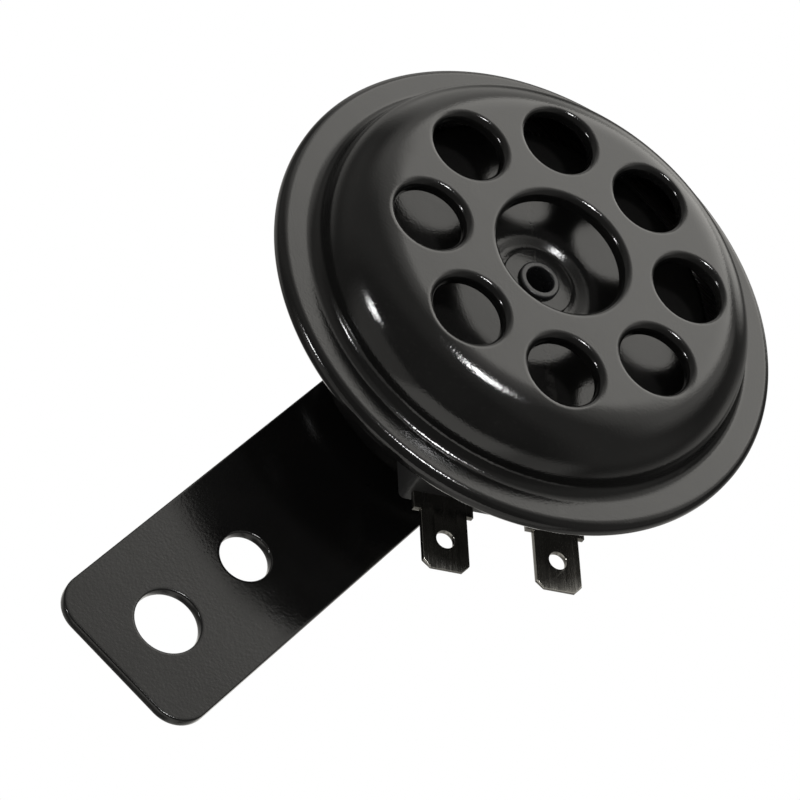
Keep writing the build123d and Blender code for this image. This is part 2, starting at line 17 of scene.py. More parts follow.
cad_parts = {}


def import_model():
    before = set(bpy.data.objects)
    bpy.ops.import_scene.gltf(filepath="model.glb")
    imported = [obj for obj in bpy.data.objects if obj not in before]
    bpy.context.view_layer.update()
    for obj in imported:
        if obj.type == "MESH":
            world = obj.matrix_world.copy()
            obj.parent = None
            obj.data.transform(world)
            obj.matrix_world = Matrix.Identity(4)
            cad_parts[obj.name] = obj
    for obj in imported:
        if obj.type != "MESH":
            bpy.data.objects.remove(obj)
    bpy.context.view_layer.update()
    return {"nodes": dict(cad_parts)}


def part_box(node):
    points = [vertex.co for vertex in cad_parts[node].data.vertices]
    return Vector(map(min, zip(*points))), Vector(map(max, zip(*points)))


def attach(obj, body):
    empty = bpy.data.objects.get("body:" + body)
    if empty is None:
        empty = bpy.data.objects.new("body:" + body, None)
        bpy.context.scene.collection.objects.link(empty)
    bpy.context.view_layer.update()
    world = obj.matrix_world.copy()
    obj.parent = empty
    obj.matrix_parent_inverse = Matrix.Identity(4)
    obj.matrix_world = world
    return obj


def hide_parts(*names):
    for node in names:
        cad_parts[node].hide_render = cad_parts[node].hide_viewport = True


Colour = tuple[float, float, float, float]
Socket = bpy.types.NodeSocket

LOG = logging.getLogger("disc_horn")
MM = 0.001
WELD_DISTANCE = 0.002
FIXED_BODY = "housing"
MOVING_BODY = "vibrator"
WHITE = (1.0, 1.0, 1.0, 1.0)

# How far the middle point of a rounded edge stands in from both faces, as a share of the edge's radius
EDGE_MIDDLE = 0.3

# Smallest fillet, in mm, on the inner side of a bent sheet
LEAST_FILLET = 0.05

# Measures that several pieces share, in mm and degrees in the horn's frame
STEEL_SHEET = 0.7
HOUSING_REAR = -28.2
CUP_RADIUS = 23.2
STUD_HOLE = 3.1
TERMINAL_ANGLE = 132.8
BREAKER_ANGLE = TERMINAL_ANGLE + 180.0
SCREW_RADIUS = 1.5
SCREW_SPOT = (16.2, 8.0)
FOOT_RIVET_RADIUS = 1.2
FOOT_RIVET_SPOT = (15.95, -6.0)


# Seat of the horn's own frame in the part's frame


@dataclass(frozen=True)
class Seat:
    """Where the horn's axis and front face stand: pieces are drawn in mm, with +Z out of the front face."""

    axis_z: float
    face_y: float

    @classmethod
    def from_frame(cls) -> "Seat":
        """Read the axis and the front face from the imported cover."""
        low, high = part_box("front_cover")
        return cls(axis_z=(low.z + high.z) / 2, face_y=low.y)

    def place(self, points: np.ndarray) -> np.ndarray:
        """Turn horn-frame millimetres into part-frame metres.

        Args:
            points: Rows of x, y, z in the horn's frame.

        Returns:
            The same points in the part's frame.
        """
        x, y, z = np.asarray(points, float).T * MM
        return np.column_stack((x, self.face_y - z, self.axis_z + y))


# Sections and loops


@dataclass(frozen=True)
class Corner:
    """One corner of a line in a plane, with the radius that rounds it."""

    x: float
    y: float
    radius: float = 0.0


def unit(vector: np.ndarray) -> np.ndarray:
    """Scale a vector to length one."""
    return vector / np.linalg.norm(vector)


def left_of(vector: np.ndarray) -> np.ndarray:
    """Turn a plane vector a quarter turn to the left."""
    return np.array((-vector[1], vector[0]))


def turn_between(into: np.ndarray, out: np.ndarray) -> float:
    """Angle from one direction to the next, positive to the left."""
    return math.atan2(into[0] * out[1] - into[1] * out[0], float(into @ out))


def rounded(
    corners: Sequence[Corner], closed: bool, arc_step: float = 12.0, support: float = 0.12
) -> np.ndarray:
    """Sample a line of straight runs joined by fillets.

    Args:
        corners: The line's corners, each with its fillet.
        closed: Whether the last corner joins the first.
        arc_step: Degrees of turn for each chord of a fillet.
        support: Distance from a run's ends to the extra points that keep it flat when shaded.

    Returns:
        Rows of x, y along the line.
    """
    places = [np.array((c.x, c.y)) for c in corners]
    count = len(places)
    arcs: list[list[np.ndarray]] = []
    for index, corner in enumerate(corners):
        here = places[index]
        if corner.radius <= 0 or (not closed and index in (0, count - 1)):
            arcs.append([here])
            continue
        into = unit(here - places[index - 1])
        out = unit(places[(index + 1) % count] - here)
        turn = turn_between(into, out)
        side = math.copysign(1.0, turn)
        reach = corner.radius * math.tan(abs(turn) / 2)
        centre = here - into * reach + side * left_of(into) * corner.radius
        steps = max(2, math.ceil(abs(math.degrees(turn)) / arc_step))
        spoke = here - into * reach - centre
        arc = []
        for step in range(steps + 1):
            c, s = math.cos(turn * step / steps), math.sin(turn * step / steps)
            arc.append(centre + np.array((c * spoke[0] - s * spoke[1], s * spoke[0] + c * spoke[1])))
        arcs.append(arc)
    points: list[np.ndarray] = []
    for index, arc in enumerate(arcs):
        points += arc
        if closed or index < count - 1:
            start, end = arc[-1], arcs[(index + 1) % count][0]
            run = float(np.linalg.norm(end - start))
            if run > 4 * support:
                along = (end - start) / run
                points += [start + along * support, end - along * support]
    return np.array(points)


def beside(corners: Sequence[Corner], distance: float) -> list[Corner]:
    """Give the line that runs parallel on the left, its fillets kept concentric.

    Args:
        corners: The line's corners.
        distance: How far to the left the new line runs.

    Returns:
        The corners of the parallel line.
    """
    places = [np.array((c.x, c.y)) for c in corners]
    result = []
    for index, corner in enumerate(corners):
        into = unit(places[index] - places[index - 1]) if index else None
        out = unit(places[index + 1] - places[index]) if index < len(places) - 1 else None
        if into is None or out is None:
            normal = left_of(out if into is None else into)
            place, radius = places[index] + normal * distance, 0.0
        else:
            first, second = left_of(into), left_of(out)
            place = places[index] + (first + second) * distance / (1 + float(first @ second))
            side = math.copysign(1.0, turn_between(into, out))
            radius = max(corner.radius - side * distance, LEAST_FILLET)
        result.append(Corner(float(place[0]), float(place[1]), radius))
    return result


def sheet_section(corners: Sequence[Corner], thickness: float, edge: float = 0.12) -> np.ndarray:
    """Section of a bent sheet that lies on the left of its line, with slightly broken edges.

    Args:
        corners: The line's corners, with the sheet on their left.
        thickness: The sheet's thickness.
        edge: Radius of the broken edges at the line's two ends.

    Returns:
        Rows of x, y round the section.
    """
    inner = beside(corners, thickness)
    ends = {0, len(corners) - 1}

    def broken(line: Sequence[Corner]) -> list[Corner]:
        """Round the two ends of one of the sheet's lines."""
        return [Corner(c.x, c.y, edge) if k in ends else c for k, c in enumerate(line)]

    return rounded(broken(corners) + list(reversed(broken(inner))), closed=True)


def ring_section(outer: float, inner: float, front: float, rear: float, edge: float) -> np.ndarray:
    """Section of a flat ring with broken edges."""
    places = ((outer, front), (outer, rear), (inner, rear), (inner, front))
    return rounded([Corner(x, y, edge) for x, y in places], closed=True, arc_step=30.0)


def circle(radius: float, count: int, centre: tuple[float, float] = (0.0, 0.0)) -> np.ndarray:
    """Points round a circle."""
    angles = 2 * math.pi * np.arange(count) / count
    return np.column_stack((centre[0] + radius * np.cos(angles), centre[1] + radius * np.sin(angles)))


def inset(loop: np.ndarray, distance: float) -> np.ndarray:
    """Move a closed loop to its left by a distance, with mitred corners.

    Args:
        loop: Rows of x, y round the loop.
        distance: How far it moves.

    Returns:
        The moved loop, point for point.
    """
    into = loop - np.roll(loop, 1, axis=0)
    out = np.roll(loop, -1, axis=0) - loop
    into /= np.linalg.norm(into, axis=1)[:, None]
    out /= np.linalg.norm(out, axis=1)[:, None]
    first = np.column_stack((-into[:, 1], into[:, 0]))
    second = np.column_stack((-out[:, 1], out[:, 0]))
    return loop + (first + second) * distance / (1 + (first * second).sum(1))[:, None]


def at_level(loop: np.ndarray, level: float) -> np.ndarray:
    """Lift a plane loop to a level."""
    return np.column_stack((loop, np.full(len(loop), level)))


def turned(points: np.ndarray, degrees: float) -> np.ndarray:
    """Turn points about the horn's axis.

    Args:
        points: Rows of points.
        degrees: The turn, counter-clockwise.

    Returns:
        The turned points.
    """
    c, s = math.cos(math.radians(degrees)), math.sin(math.radians(degrees))
    result = np.array(points, float)
    result[:, 0], result[:, 1] = c * points[:, 0] - s * points[:, 1], s * points[:, 0] + c * points[:, 1]
    return result


def revolved(section: np.ndarray, angles: np.ndarray) -> np.ndarray:
    """Stand a section of radius and level in every direction round the axis.

    Args:
        section: Rows of radius and level.
        angles: The directions, in radians.

    Returns:
        Points as directions by section points by 3.
    """
    c, s = np.cos(angles)[:, None], np.sin(angles)[:, None]
    radius, level = section[:, 0][None, :], section[:, 1][None, :]
    return np.stack((radius * c, radius * s, np.broadcast_to(level, (len(angles), len(section)))), axis=2)


class Skin:
    """Vertices and faces of one piece, gathered patch by patch and welded into a closed mesh."""

    def __init__(self) -> None:
        """Start with no faces."""
        self.points: list[np.ndarray] = []
        self.faces: list[tuple[int, ...]] = []
        self.count = 0

    def add_points(self, points: np.ndarray) -> int:
        """Take a block of points.

        Args:
            points: The new points, in any shape that ends in 3.

        Returns:
            The number of the block's first point.
        """
        first = self.count
        self.points.append(np.asarray(points, float).reshape(-1, 3))
        self.count += len(self.points[-1])
        return first

    def add_grid(self, rows: np.ndarray, close_rows: bool = False, close_columns: bool = False) -> None:
        """Add a quad patch.

        Args:
            rows: Points as rows by columns by 3.
            close_rows: Whether the last row joins the first.
            close_columns: Whether the last column joins the first.
        """
        count, width = rows.shape[:2]
        first = self.add_points(rows)
        for i in range(count if close_rows else count - 1):
            here, there = first + i * width, first + (i + 1) % count * width
            for j in range(width if close_columns else width - 1):
                k = (j + 1) % width
                self.faces.append((here + j, here + k, there + k, there + j))

    def add_revolved(self, section: np.ndarray, angles: np.ndarray) -> None:
        """Turn a closed section of radius and level all the way round the axis."""
        self.add_grid(revolved(section, angles), close_rows=True, close_columns=True)

    def add_flat(self, loops: Sequence[np.ndarray], level: float) -> None:
        """Fill the area between an outer loop and its holes at one level.

        Args:
            loops: The outer loop, then the loop of each hole.
            level: The level of the flat.
        """
        flat = [[Vector((x, y, 0.0)) for x, y in loop] for loop in loops]
        first = self.add_points(np.vstack([at_level(loop, level) for loop in loops]))
        self.faces += [tuple(first + k for k in face) for face in tessellate_polygon(flat)]

    def add_plate(
        self, outer: np.ndarray, holes: Sequence[np.ndarray], front: float, rear: float, edge: float
    ) -> None:
        """Add a plate with rounded edges all round its outline and its holes.

        Args:
            outer: The outline, counter-clockwise.
            holes: The holes, clockwise, so that the plate lies on the left of every loop.
            front: Level of the front face.
            rear: Level of the rear face.
            edge: Radius of the edges.
        """
        steps = [0.0, 22.5, 45.0, 67.5, 90.0]
        shift = [edge * (1 - math.cos(math.radians(a))) for a in steps]
        drop = [edge * (1 - math.sin(math.radians(a))) for a in steps]
        flats: dict[float, list[np.ndarray]] = {front: [], rear: []}
        for loop in [outer, *holes]:
            rows = [(shift[-1] + edge, front)]
            rows += [(s, front - d) for s, d in zip(reversed(shift), reversed(drop))]
            rows += [(s, rear + d) for s, d in zip(shift, drop)]
            rows += [(shift[-1] + edge, rear)]
            rings = [at_level(inset(loop, s), z) for s, z in rows]
            self.add_grid(np.array(rings), close_columns=True)
            flats[front].append(rings[0][:, :2])
            flats[rear].append(rings[-1][:, :2])
        for level, loops in flats.items():
            self.add_flat(loops, level)

    def finish(
        self, name: str, seat: Seat, body: str, finish: "Finish", nodes: Sequence[str], sharp: float = 38.0
    ) -> bpy.types.Object:
        """Weld the patches, seat the mesh in the part's frame and put it in the place of its CAD nodes.

        Args:
            name: The new object's name.
            seat: Where the horn's own frame stands.
            body: The body that the piece rides on.
            finish: The finish that dresses it.
            nodes: The CAD nodes that it stands for.
            sharp: Edges that turn by more degrees than this stay sharp.

        Returns:
            The finished object.
        """
        mesh = bpy.data.meshes.new(name)
        mesh.from_pydata(seat.place(np.vstack(self.points)).tolist(), [], self.faces)
        return finish_mesh(mesh, body, finish, nodes, sharp)


def placed(name: str, data: bpy.types.ID) -> bpy.types.Object:
    """Make an object of a mesh, a lamp or a lens and link it to the scene.

    Args:
        name: The object's name.
        data: What it shows.

    Returns:
        The new object.
    """
    thing = bpy.data.objects.new(name, data)
    bpy.context.scene.collection.objects.link(thing)
    return thing


def finish_mesh(
    mesh: bpy.types.Mesh, body: str, finish: "Finish", nodes: Sequence[str], sharp: float
) -> bpy.types.Object:
    """Weld a mesh, point its faces outwards, dress it and let it ride in the place of its CAD nodes.

    Args:
        mesh: The mesh in the part's frame.
        body: The body that the piece rides on.
        finish: The finish that dresses it.
        nodes: The CAD nodes that it stands for.
        sharp: Edges that turn by more degrees than this stay sharp.

    Returns:
        The finished object.
    """
    work = bmesh.new()
    work.from_mesh(mesh)
    bmesh.ops.remove_doubles(work, verts=work.verts, dist=WELD_DISTANCE * MM)
    bmesh.ops.recalc_face_normals(work, faces=work.faces)
    work.to_mesh(mesh)
    work.free()
    mesh.polygons.foreach_set("use_smooth", [True] * len(mesh.polygons))
    mesh.set_sharp_from_angle(angle=math.radians(sharp))
    mesh.materials.clear()
    mesh.materials.append(finish.material())
    piece = placed(mesh.name, mesh)
    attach(piece, body)
    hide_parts(*nodes)
    LOG.info("%s: %d faces, finish %s", mesh.name, len(mesh.polygons), finish.slot)
    return piece


# Node tools shared by the finishes


class Wiring:
    """Adds nodes to a tree and wires them in one call each."""

    def __init__(self, tree: bpy.types.NodeTree) -> None:
        """Keep the tree that the nodes go into."""
        self.tree = tree

    def node(
        self, kind: str, inputs: dict[object, object] | None = None, **settings: object
    ) -> bpy.types.Node:
        """Add one node.

        Args:
            kind: The node's type.
            inputs: Values or sockets for its inputs, by name or number.
            settings: Properties of the node.

        Returns:
            The new node.
        """
        node = self.tree.nodes.new(kind)
        for key, value in settings.items():
            setattr(node, key, value)
        self.feed(node, inputs or {})
        return node

    def feed(self, node: bpy.types.Node, inputs: dict[object, object]) -> None:
        """Link a socket, or set a value, at each of a node's inputs.

        Args:
            node: The node.
            inputs: Values or sockets for its inputs, by name or number.
        """
        for key, value in inputs.items():
            if isinstance(value, Socket):
                self.tree.links.new(value, node.inputs[key])
            else:
                node.inputs[key].default_value = value

    def maths(
        self, operation: str, first: object, second: object = 0.0, clamp: bool = False
    ) -> Socket:
        """Add a Math node and return its result."""
        inputs = {0: first, 1: second}
        return self.node("ShaderNodeMath", inputs, operation=operation, use_clamp=clamp).outputs[0]

    def span(
        self, value: object, low: float, high: float, to_low: object = 0.0, to_high: object = 1.0
    ) -> Socket:
        """Map a value from one range to another, clamped."""
        inputs = {"Value": value, "From Min": low, "From Max": high, "To Min": to_low, "To Max": to_high}
        return self.node("ShaderNodeMapRange", inputs).outputs["Result"]

    def noise(
        self, place: Socket, scale: object, detail: float = 2.0, roughness: float = 0.5
    ) -> Socket:
        """Add a noise texture and return its value."""
        inputs = {"Vector": place, "Scale": scale, "Detail": detail, "Roughness": roughness}
        return self.node("ShaderNodeTexNoise", inputs).outputs["Fac"]

    def mix(self, share: object, first: object, second: object) -> Socket:
        """Mix two colours."""
        return self.node("ShaderNodeMix", {0: share, 6: first, 7: second}, data_type="RGBA").outputs[2]

    def blend(self, first: Socket, first_share: float, second: Socket, second_share: float) -> Socket:
        """Add up two values, each by its share."""
        parts = [self.maths("MULTIPLY", *pair) for pair in ((first, first_share), (second, second_share))]
        return self.maths("ADD", *parts)

    def object_place(self) -> Socket:
        """Give the object coordinates, in metres."""
        return self.node("ShaderNodeTexCoord").outputs["Object"]


def effect_group(
    name: str, inputs: Sequence[tuple[str, float]], outputs: Sequence[tuple[str, str]]
) -> tuple[Wiring, bpy.types.Node, bpy.types.Node]:
    """Start a shader node group with named inputs and outputs.

    Args:
        name: The group's name.
        inputs: Name and default of each number that goes in.
        outputs: Name and socket type of each result.

    Returns:
        The wiring of the group, its input node and its output node.
    """
    tree = bpy.data.node_groups.new(name, "ShaderNodeTree")
    for label, default in inputs:
        socket = tree.interface.new_socket(label, in_out="INPUT", socket_type="NodeSocketFloat")
        socket.default_value = default
    for label, kind in outputs:
        tree.interface.new_socket(label, in_out="OUTPUT", socket_type=kind)
    wiring = Wiring(tree)
    return wiring, wiring.node("NodeGroupInput"), wiring.node("NodeGroupOutput")


# Heights of the relief, in metres
WAVE_HEIGHT = 0.00006
PIT_HEIGHT = 0.00005
GRAIN_HEIGHT = 0.00001

# Ranges of noise that open into masks, and the shares of what is added up
NOISE_MIDDLE = (0.3, 0.7)
DUST_PATCHES = (0.35, 0.75)
DUST_SPECKS = (0.62, 0.78)
DUST_BY_SLOPE = (-0.2, 1.0, 0.35, 1.0)
DUST_PATCH_SHARE, DUST_SPECK_SHARE = 0.6, 0.8
# The worn edges' mask also lightens the paint along convex edges as a painted highlight
WORN_AND_LIT_BREAKS = (0.4, 0.6)
WORN_AND_LIT_GAIN = 12.0
MOTTLE_RANGE = (0.35, 0.65)
CLOUD_SHARE, GRAIN_SHARE = 0.75, 0.25


class Effect(Enum):
    """Surface effects that several finishes share."""

    ORANGE_PEEL = "orange_peel"
    DUST = "settled_dust"
    WORN_AND_LIT_EDGES = "worn_and_lit_edges"
    DRAWN_GRAIN = "drawn_grain"
    MOTTLE = "plating_mottle"

    def group(self) -> bpy.types.NodeTree:
        """Return this effect's node group, built on first use."""
        return bpy.data.node_groups.get(self.value) or EFFECT_BUILDERS[self]()


def build_orange_peel() -> bpy.types.NodeTree:
    """Ripple of sprayed or dipped paint: fine pits over slow waves, as a normal.

    Returns:
        The new node group.
    """
    inputs = [("Pit Scale", 1500.0), ("Wave Scale", 320.0), ("Pit Depth", 0.5), ("Wave Depth", 0.5)]
    wiring, source, target = effect_group(Effect.ORANGE_PEEL.value, inputs, [("Normal", "NodeSocketVector")])
    place = wiring.object_place()
    pits = wiring.noise(place, source.outputs["Pit Scale"], detail=1.5, roughness=0.45)
    waves = wiring.noise(place, source.outputs["Wave Scale"], detail=1.0)
    slow = {"Strength": source.outputs["Wave Depth"], "Distance": WAVE_HEIGHT, "Height": waves}
    bump = wiring.node("ShaderNodeBump", slow)
    quick = {"Strength": source.outputs["Pit Depth"], "Distance": PIT_HEIGHT, "Height": pits}
    fine = wiring.node("ShaderNodeBump", {**quick, "Normal": bump.outputs[0]})
    wiring.tree.links.new(fine.outputs[0], target.inputs["Normal"])
    return wiring.tree


def build_dust() -> bpy.types.NodeTree:
    """Faint dust: patchy, thicker on faces that look up, as a mask.

    Returns:
        The new node group.
    """
    inputs = [("Amount", 0.1), ("Patch Scale", 90.0), ("Speck Scale", 2600.0)]
    wiring, source, target = effect_group(Effect.DUST.value, inputs, [("Mask", "NodeSocketFloat")])
    place = wiring.object_place()
    patches = wiring.span(wiring.noise(place, source.outputs["Patch Scale"], detail=4.0), *DUST_PATCHES)
    specks = wiring.span(wiring.noise(place, source.outputs["Speck Scale"], detail=1.0), *DUST_SPECKS)
    normal = wiring.node("ShaderNodeNewGeometry").outputs["Normal"]
    upward = wiring.node("ShaderNodeSeparateXYZ", {0: normal}).outputs["Z"]
    film = wiring.blend(patches, DUST_PATCH_SHARE, specks, DUST_SPECK_SHARE)
    lying = wiring.maths("MULTIPLY", film, wiring.span(upward, *DUST_BY_SLOPE))
    mask = wiring.maths("MULTIPLY", lying, source.outputs["Amount"], clamp=True)
    wiring.tree.links.new(mask, target.inputs["Mask"])
    return wiring.tree


def build_worn_and_lit_edges() -> bpy.types.NodeTree:
    """Rubbed edges that also carry a painted highlight: a broken mask where the surface bends outwards, which
    lightens the paint there.

    Returns:
        The new node group.
    """
    inputs = [("Reach", 0.55), ("Break Scale", 900.0), ("Amount", 1.0)]
    wiring, source, target = effect_group(Effect.WORN_AND_LIT_EDGES.value, inputs, [("Mask", "NodeSocketFloat")])
    bend = wiring.node("ShaderNodeNewGeometry").outputs["Pointiness"]
    ridge = wiring.maths("SUBTRACT", bend, source.outputs["Reach"])
    edge = wiring.maths("MULTIPLY", ridge, WORN_AND_LIT_GAIN, clamp=True)
    patches = wiring.noise(wiring.object_place(), source.outputs["Break Scale"], detail=3.0)
    rubbed_and_lit = wiring.maths("MULTIPLY", edge, wiring.span(patches, *WORN_AND_LIT_BREAKS))
    mask = wiring.maths("MULTIPLY", rubbed_and_lit, source.outputs["Amount"], clamp=True)
    wiring.tree.links.new(mask, target.inputs["Mask"])
    return wiring.tree


def build_drawn_grain() -> bpy.types.NodeTree:
    """Fine lines along one direction, left by rolling or grinding, as a value and a normal.

    Returns:
        The new node group.
    """
    inputs = [("Turn", 0.0), ("Line Scale", 60.0), ("Stretch", 40.0), ("Depth", 0.3)]
    outputs = [("Value", "NodeSocketFloat"), ("Normal", "NodeSocketVector")]
    wiring, source, target = effect_group(Effect.DRAWN_GRAIN.value, inputs, outputs)
    turned_place = wiring.node(
        "ShaderNodeVectorRotate",
        {"Vector": wiring.object_place(), "Angle": source.outputs["Turn"]},
        rotation_type="Y_AXIS",
    )
    stretch = source.outputs["Stretch"]
    along = wiring.node("ShaderNodeCombineXYZ", {"X": 1.0, "Y": stretch, "Z": stretch})
    place = wiring.node("ShaderNodeMapping", {"Vector": turned_place.outputs[0], "Scale": along.outputs[0]})
    lines = wiring.noise(place.outputs[0], source.outputs["Line Scale"], detail=4.0, roughness=0.65)
    relief = {"Strength": source.outputs["Depth"], "Distance": GRAIN_HEIGHT, "Height": lines}
    bump = wiring.node("ShaderNodeBump", relief)
    wiring.tree.links.new(lines, target.inputs["Value"])
    wiring.tree.links.new(bump.outputs[0], target.inputs["Normal"])
    return wiring.tree


def build_mottle() -> bpy.types.NodeTree:
    """Cloudy patches of a plated or dipped metal, as a mask.

    Returns:
        The new node group.
    """
    inputs = [("Cloud Scale", 220.0), ("Grain Scale", 3000.0)]
    wiring, source, target = effect_group(Effect.MOTTLE.value, inputs, [("Mask", "NodeSocketFloat")])
    place = wiring.object_place()
    clouds = wiring.noise(place, source.outputs["Cloud Scale"], detail=5.0, roughness=0.6)
    grain = wiring.noise(place, source.outputs["Grain Scale"], detail=1.0)
    both = wiring.blend(clouds, CLOUD_SHARE, grain, GRAIN_SHARE)
    wiring.tree.links.new(wiring.span(both, *MOTTLE_RANGE), target.inputs["Mask"])
    return wiring.tree


EFFECT_BUILDERS = {
    Effect.ORANGE_PEEL: build_orange_peel,
    Effect.DUST: build_dust,
    Effect.WORN_AND_LIT_EDGES: build_worn_and_lit_edges,
    Effect.DRAWN_GRAIN: build_drawn_grain,
    Effect.MOTTLE: build_mottle,
}


# Finishes


def grey(value: float, warmth: float = 0.0) -> Colour:
    """A near-neutral colour, warmer or cooler by a small share."""
    return (value * (1 + warmth), value, value * (1 - warmth), 1.0)


@dataclass(frozen=True)
class Finish:
    """What every finish has: its slot in the record and a material made once."""

    slot: str

    def material(self) -> bpy.types.Material:
        """Give this finish's material, built on first use.

        Returns:
            The material, the same one on every call.
        """
        known = bpy.data.materials.get(self.slot)
        if known is not None and known.get("horn_finish"):
            return known
        if known is not None:
            known.name = self.slot + "_packed"
        material = bpy.data.materials.new(self.slot)
        material["horn_finish"] = True
        material.use_nodes = True
        self.wire(Wiring(material.node_tree), material.node_tree.nodes["Principled BSDF"])
        return material

    def wire(self, wiring: Wiring, shader: bpy.types.Node) -> None:
        """Wire this finish's colour, roughness and relief into the shader."""
        raise NotImplementedError

    def effect(self, wiring: Wiring, effect: Effect, **values: float) -> bpy.types.Node:
        """Place an effect's group, its inputs given by name with underscores for spaces."""
        inputs = {key.replace("_", " ").title(): value for key, value in values.items()}
        return wiring.node("ShaderNodeGroup", inputs, node_tree=effect.group())


@dataclass(frozen=True)
class Paint(Finish):
    """Black paint over steel: gloss, ripple, faint dust, and edges that are worn and lightened as a painted
    highlight.
    """

    colour: Colour = (0.0042, 0.0041, 0.004, 1.0)
    # Lighter paint on worn edges, which also stands in for the highlight along them: painted highlight
    worn_and_lit_colour: Colour = (0.05, 0.048, 0.045, 1.0)
    dust_colour: Colour = (0.22, 0.21, 0.19, 1.0)
    roughness: float = 0.1
    roughness_spread: float = 0.03
    pit_depth: float = 0.3
    wave_depth: float = 0.15
    pit_scale: float = 4200.0
    specular: float = 0.5
    dust: float = 0.03
    dust_roughness: float = 1.2
    # How strongly the edges are lightened, for real rubbing and as a painted highlight
    edge_wear_and_highlight: float = 0.25
    cloud_scale: float = 140.0

    def wire(self, wiring: Wiring, shader: bpy.types.Node) -> None:
        """Wire the paint.

        Args:
            wiring: The wiring of the material's nodes.
            shader: The material's principled shader.
        """
        ripple = {"pit_scale": self.pit_scale, "pit_depth": self.pit_depth, "wave_depth": self.wave_depth}
        peel = self.effect(wiring, Effect.ORANGE_PEEL, **ripple)
        dust = self.effect(wiring, Effect.DUST, amount=self.dust)
        # Edges lightened: partly rubbed paint, partly a painted highlight along the edges
        edge_wear_and_highlight = self.effect(wiring, Effect.WORN_AND_LIT_EDGES, amount=self.edge_wear_and_highlight)
        rubbed_and_lit = wiring.mix(edge_wear_and_highlight.outputs["Mask"], self.colour, self.worn_and_lit_colour)
        dusty = wiring.mix(dust.outputs["Mask"], rubbed_and_lit, self.dust_colour)
        cloud = wiring.noise(wiring.object_place(), self.cloud_scale, detail=3.0)
        low, high = self.roughness - self.roughness_spread, self.roughness + self.roughness_spread
        dulled = wiring.maths("MULTIPLY", dust.outputs["Mask"], self.dust_roughness)
        rough = wiring.maths("ADD", wiring.span(cloud, *NOISE_MIDDLE, low, high), dulled, clamp=True)
        surface = {"Base Color": dusty, "Roughness": rough, "Normal": peel.outputs["Normal"]}
        wiring.feed(shader, {**surface, "Specular IOR Level": self.specular})


@dataclass(frozen=True)
class Metal(Finish):
    """Bare or plated metal: cloudy colour, drawn grain and a little dust."""

    bright: Colour = (0.55, 0.55, 0.54, 1.0)
    dull: Colour = (0.40, 0.40, 0.39, 1.0)
    roughness: float = 0.3
    roughness_spread: float = 0.1
    turn: float = 0.0
    line_scale: float = 60.0
    grain_depth: float = 0.25
    cloud_scale: float = 220.0

    def wire(self, wiring: Wiring, shader: bpy.types.Node) -> None:
        """Wire the metal.

        Args:
            wiring: The wiring of the material's nodes.
            shader: The material's principled shader.
        """
        grain = self.effect(
            wiring, Effect.DRAWN_GRAIN, turn=self.turn, line_scale=self.line_scale, depth=self.grain_depth
        )
        mottle = self.effect(wiring, Effect.MOTTLE, cloud_scale=self.cloud_scale)
        colour = wiring.mix(mottle.outputs["Mask"], self.dull, self.bright)
        low, high = self.roughness - self.roughness_spread, self.roughness + self.roughness_spread
        rough = wiring.span(grain.outputs["Value"], *NOISE_MIDDLE, low, high)
        surface = {"Base Color": colour, "Roughness": rough, "Normal": grain.outputs["Normal"]}
        wiring.feed(shader, {**surface, "Metallic": 1.0})


@dataclass(frozen=True)
class Moulding(Finish):
    """Moulded plastic, pressed board or paper: fine texture and uneven sheen."""

    colour: Colour = (0.02, 0.02, 0.02, 1.0)
    patch_colour: Colour = (0.03, 0.03, 0.03, 1.0)
    dust_colour: Colour = (0.3, 0.29, 0.27, 1.0)
    roughness: float = 0.45
    smoother: float = 0.05
    rougher: float = 0.08
    texture_scale: float = 2200.0
    texture_depth: float = 0.4
    wave_depth: float = 0.1
    cloud_scale: float = 160.0
    dust: float = 0.08

    def wire(self, wiring: Wiring, shader: bpy.types.Node) -> None:
        """Wire the moulding.

        Args:
            wiring: The wiring of the material's nodes.
            shader: The material's principled shader.
        """
        clouds = {"cloud_scale": self.cloud_scale, "grain_scale": self.texture_scale}
        mottle = self.effect(wiring, Effect.MOTTLE, **clouds)
        ripple = {
            "pit_scale": self.texture_scale,
            "pit_depth": self.texture_depth,
            "wave_depth": self.wave_depth,
        }
        peel = self.effect(wiring, Effect.ORANGE_PEEL, **ripple)
        dust = self.effect(wiring, Effect.DUST, amount=self.dust)
        colour = wiring.mix(mottle.outputs["Mask"], self.colour, self.patch_colour)
        colour = wiring.mix(dust.outputs["Mask"], colour, self.dust_colour)
        low, high = self.roughness - self.smoother, self.roughness + self.rougher
        rough = wiring.span(mottle.outputs["Mask"], 0.0, 1.0, low, high)
        wiring.feed(shader, {"Base Color": colour, "Roughness": rough, "Normal": peel.outputs["Normal"]})


COVER_PAINT = Paint("cover_paint")
DISC_PAINT = Paint("disc_paint", colour=(0.01, 0.0098, 0.0095, 1.0), roughness=0.13, specular=0.36)
HOUSING_PAINT = Paint("housing_paint", roughness=0.16, dust=0.05)
BRACKET_PAINT = Paint("bracket_paint", roughness=0.16, pit_depth=0.25, pit_scale=3000.0, dust=0.02, edge_wear_and_highlight=0.0)
BLACK_STEEL = Paint("black_steel", colour=(0.02, 0.02, 0.021, 1.0), roughness=0.28, edge_wear_and_highlight=0.6)
ZINC_STEEL = Metal("zinc_steel", bright=(0.62, 0.63, 0.64, 1.0), dull=(0.46, 0.47, 0.48, 1.0), roughness=0.32)
TAB_METAL = Metal(
    "tab_metal",
    bright=(0.4, 0.39, 0.36, 1.0),
    dull=(0.3, 0.29, 0.27, 1.0),
    roughness=0.22,
    turn=-0.82,
    line_scale=90.0,
    grain_depth=0.08,
)
SOFT_IRON = Metal("soft_iron", bright=(0.42, 0.41, 0.40, 1.0), dull=(0.30, 0.29, 0.28, 1.0), roughness=0.42)
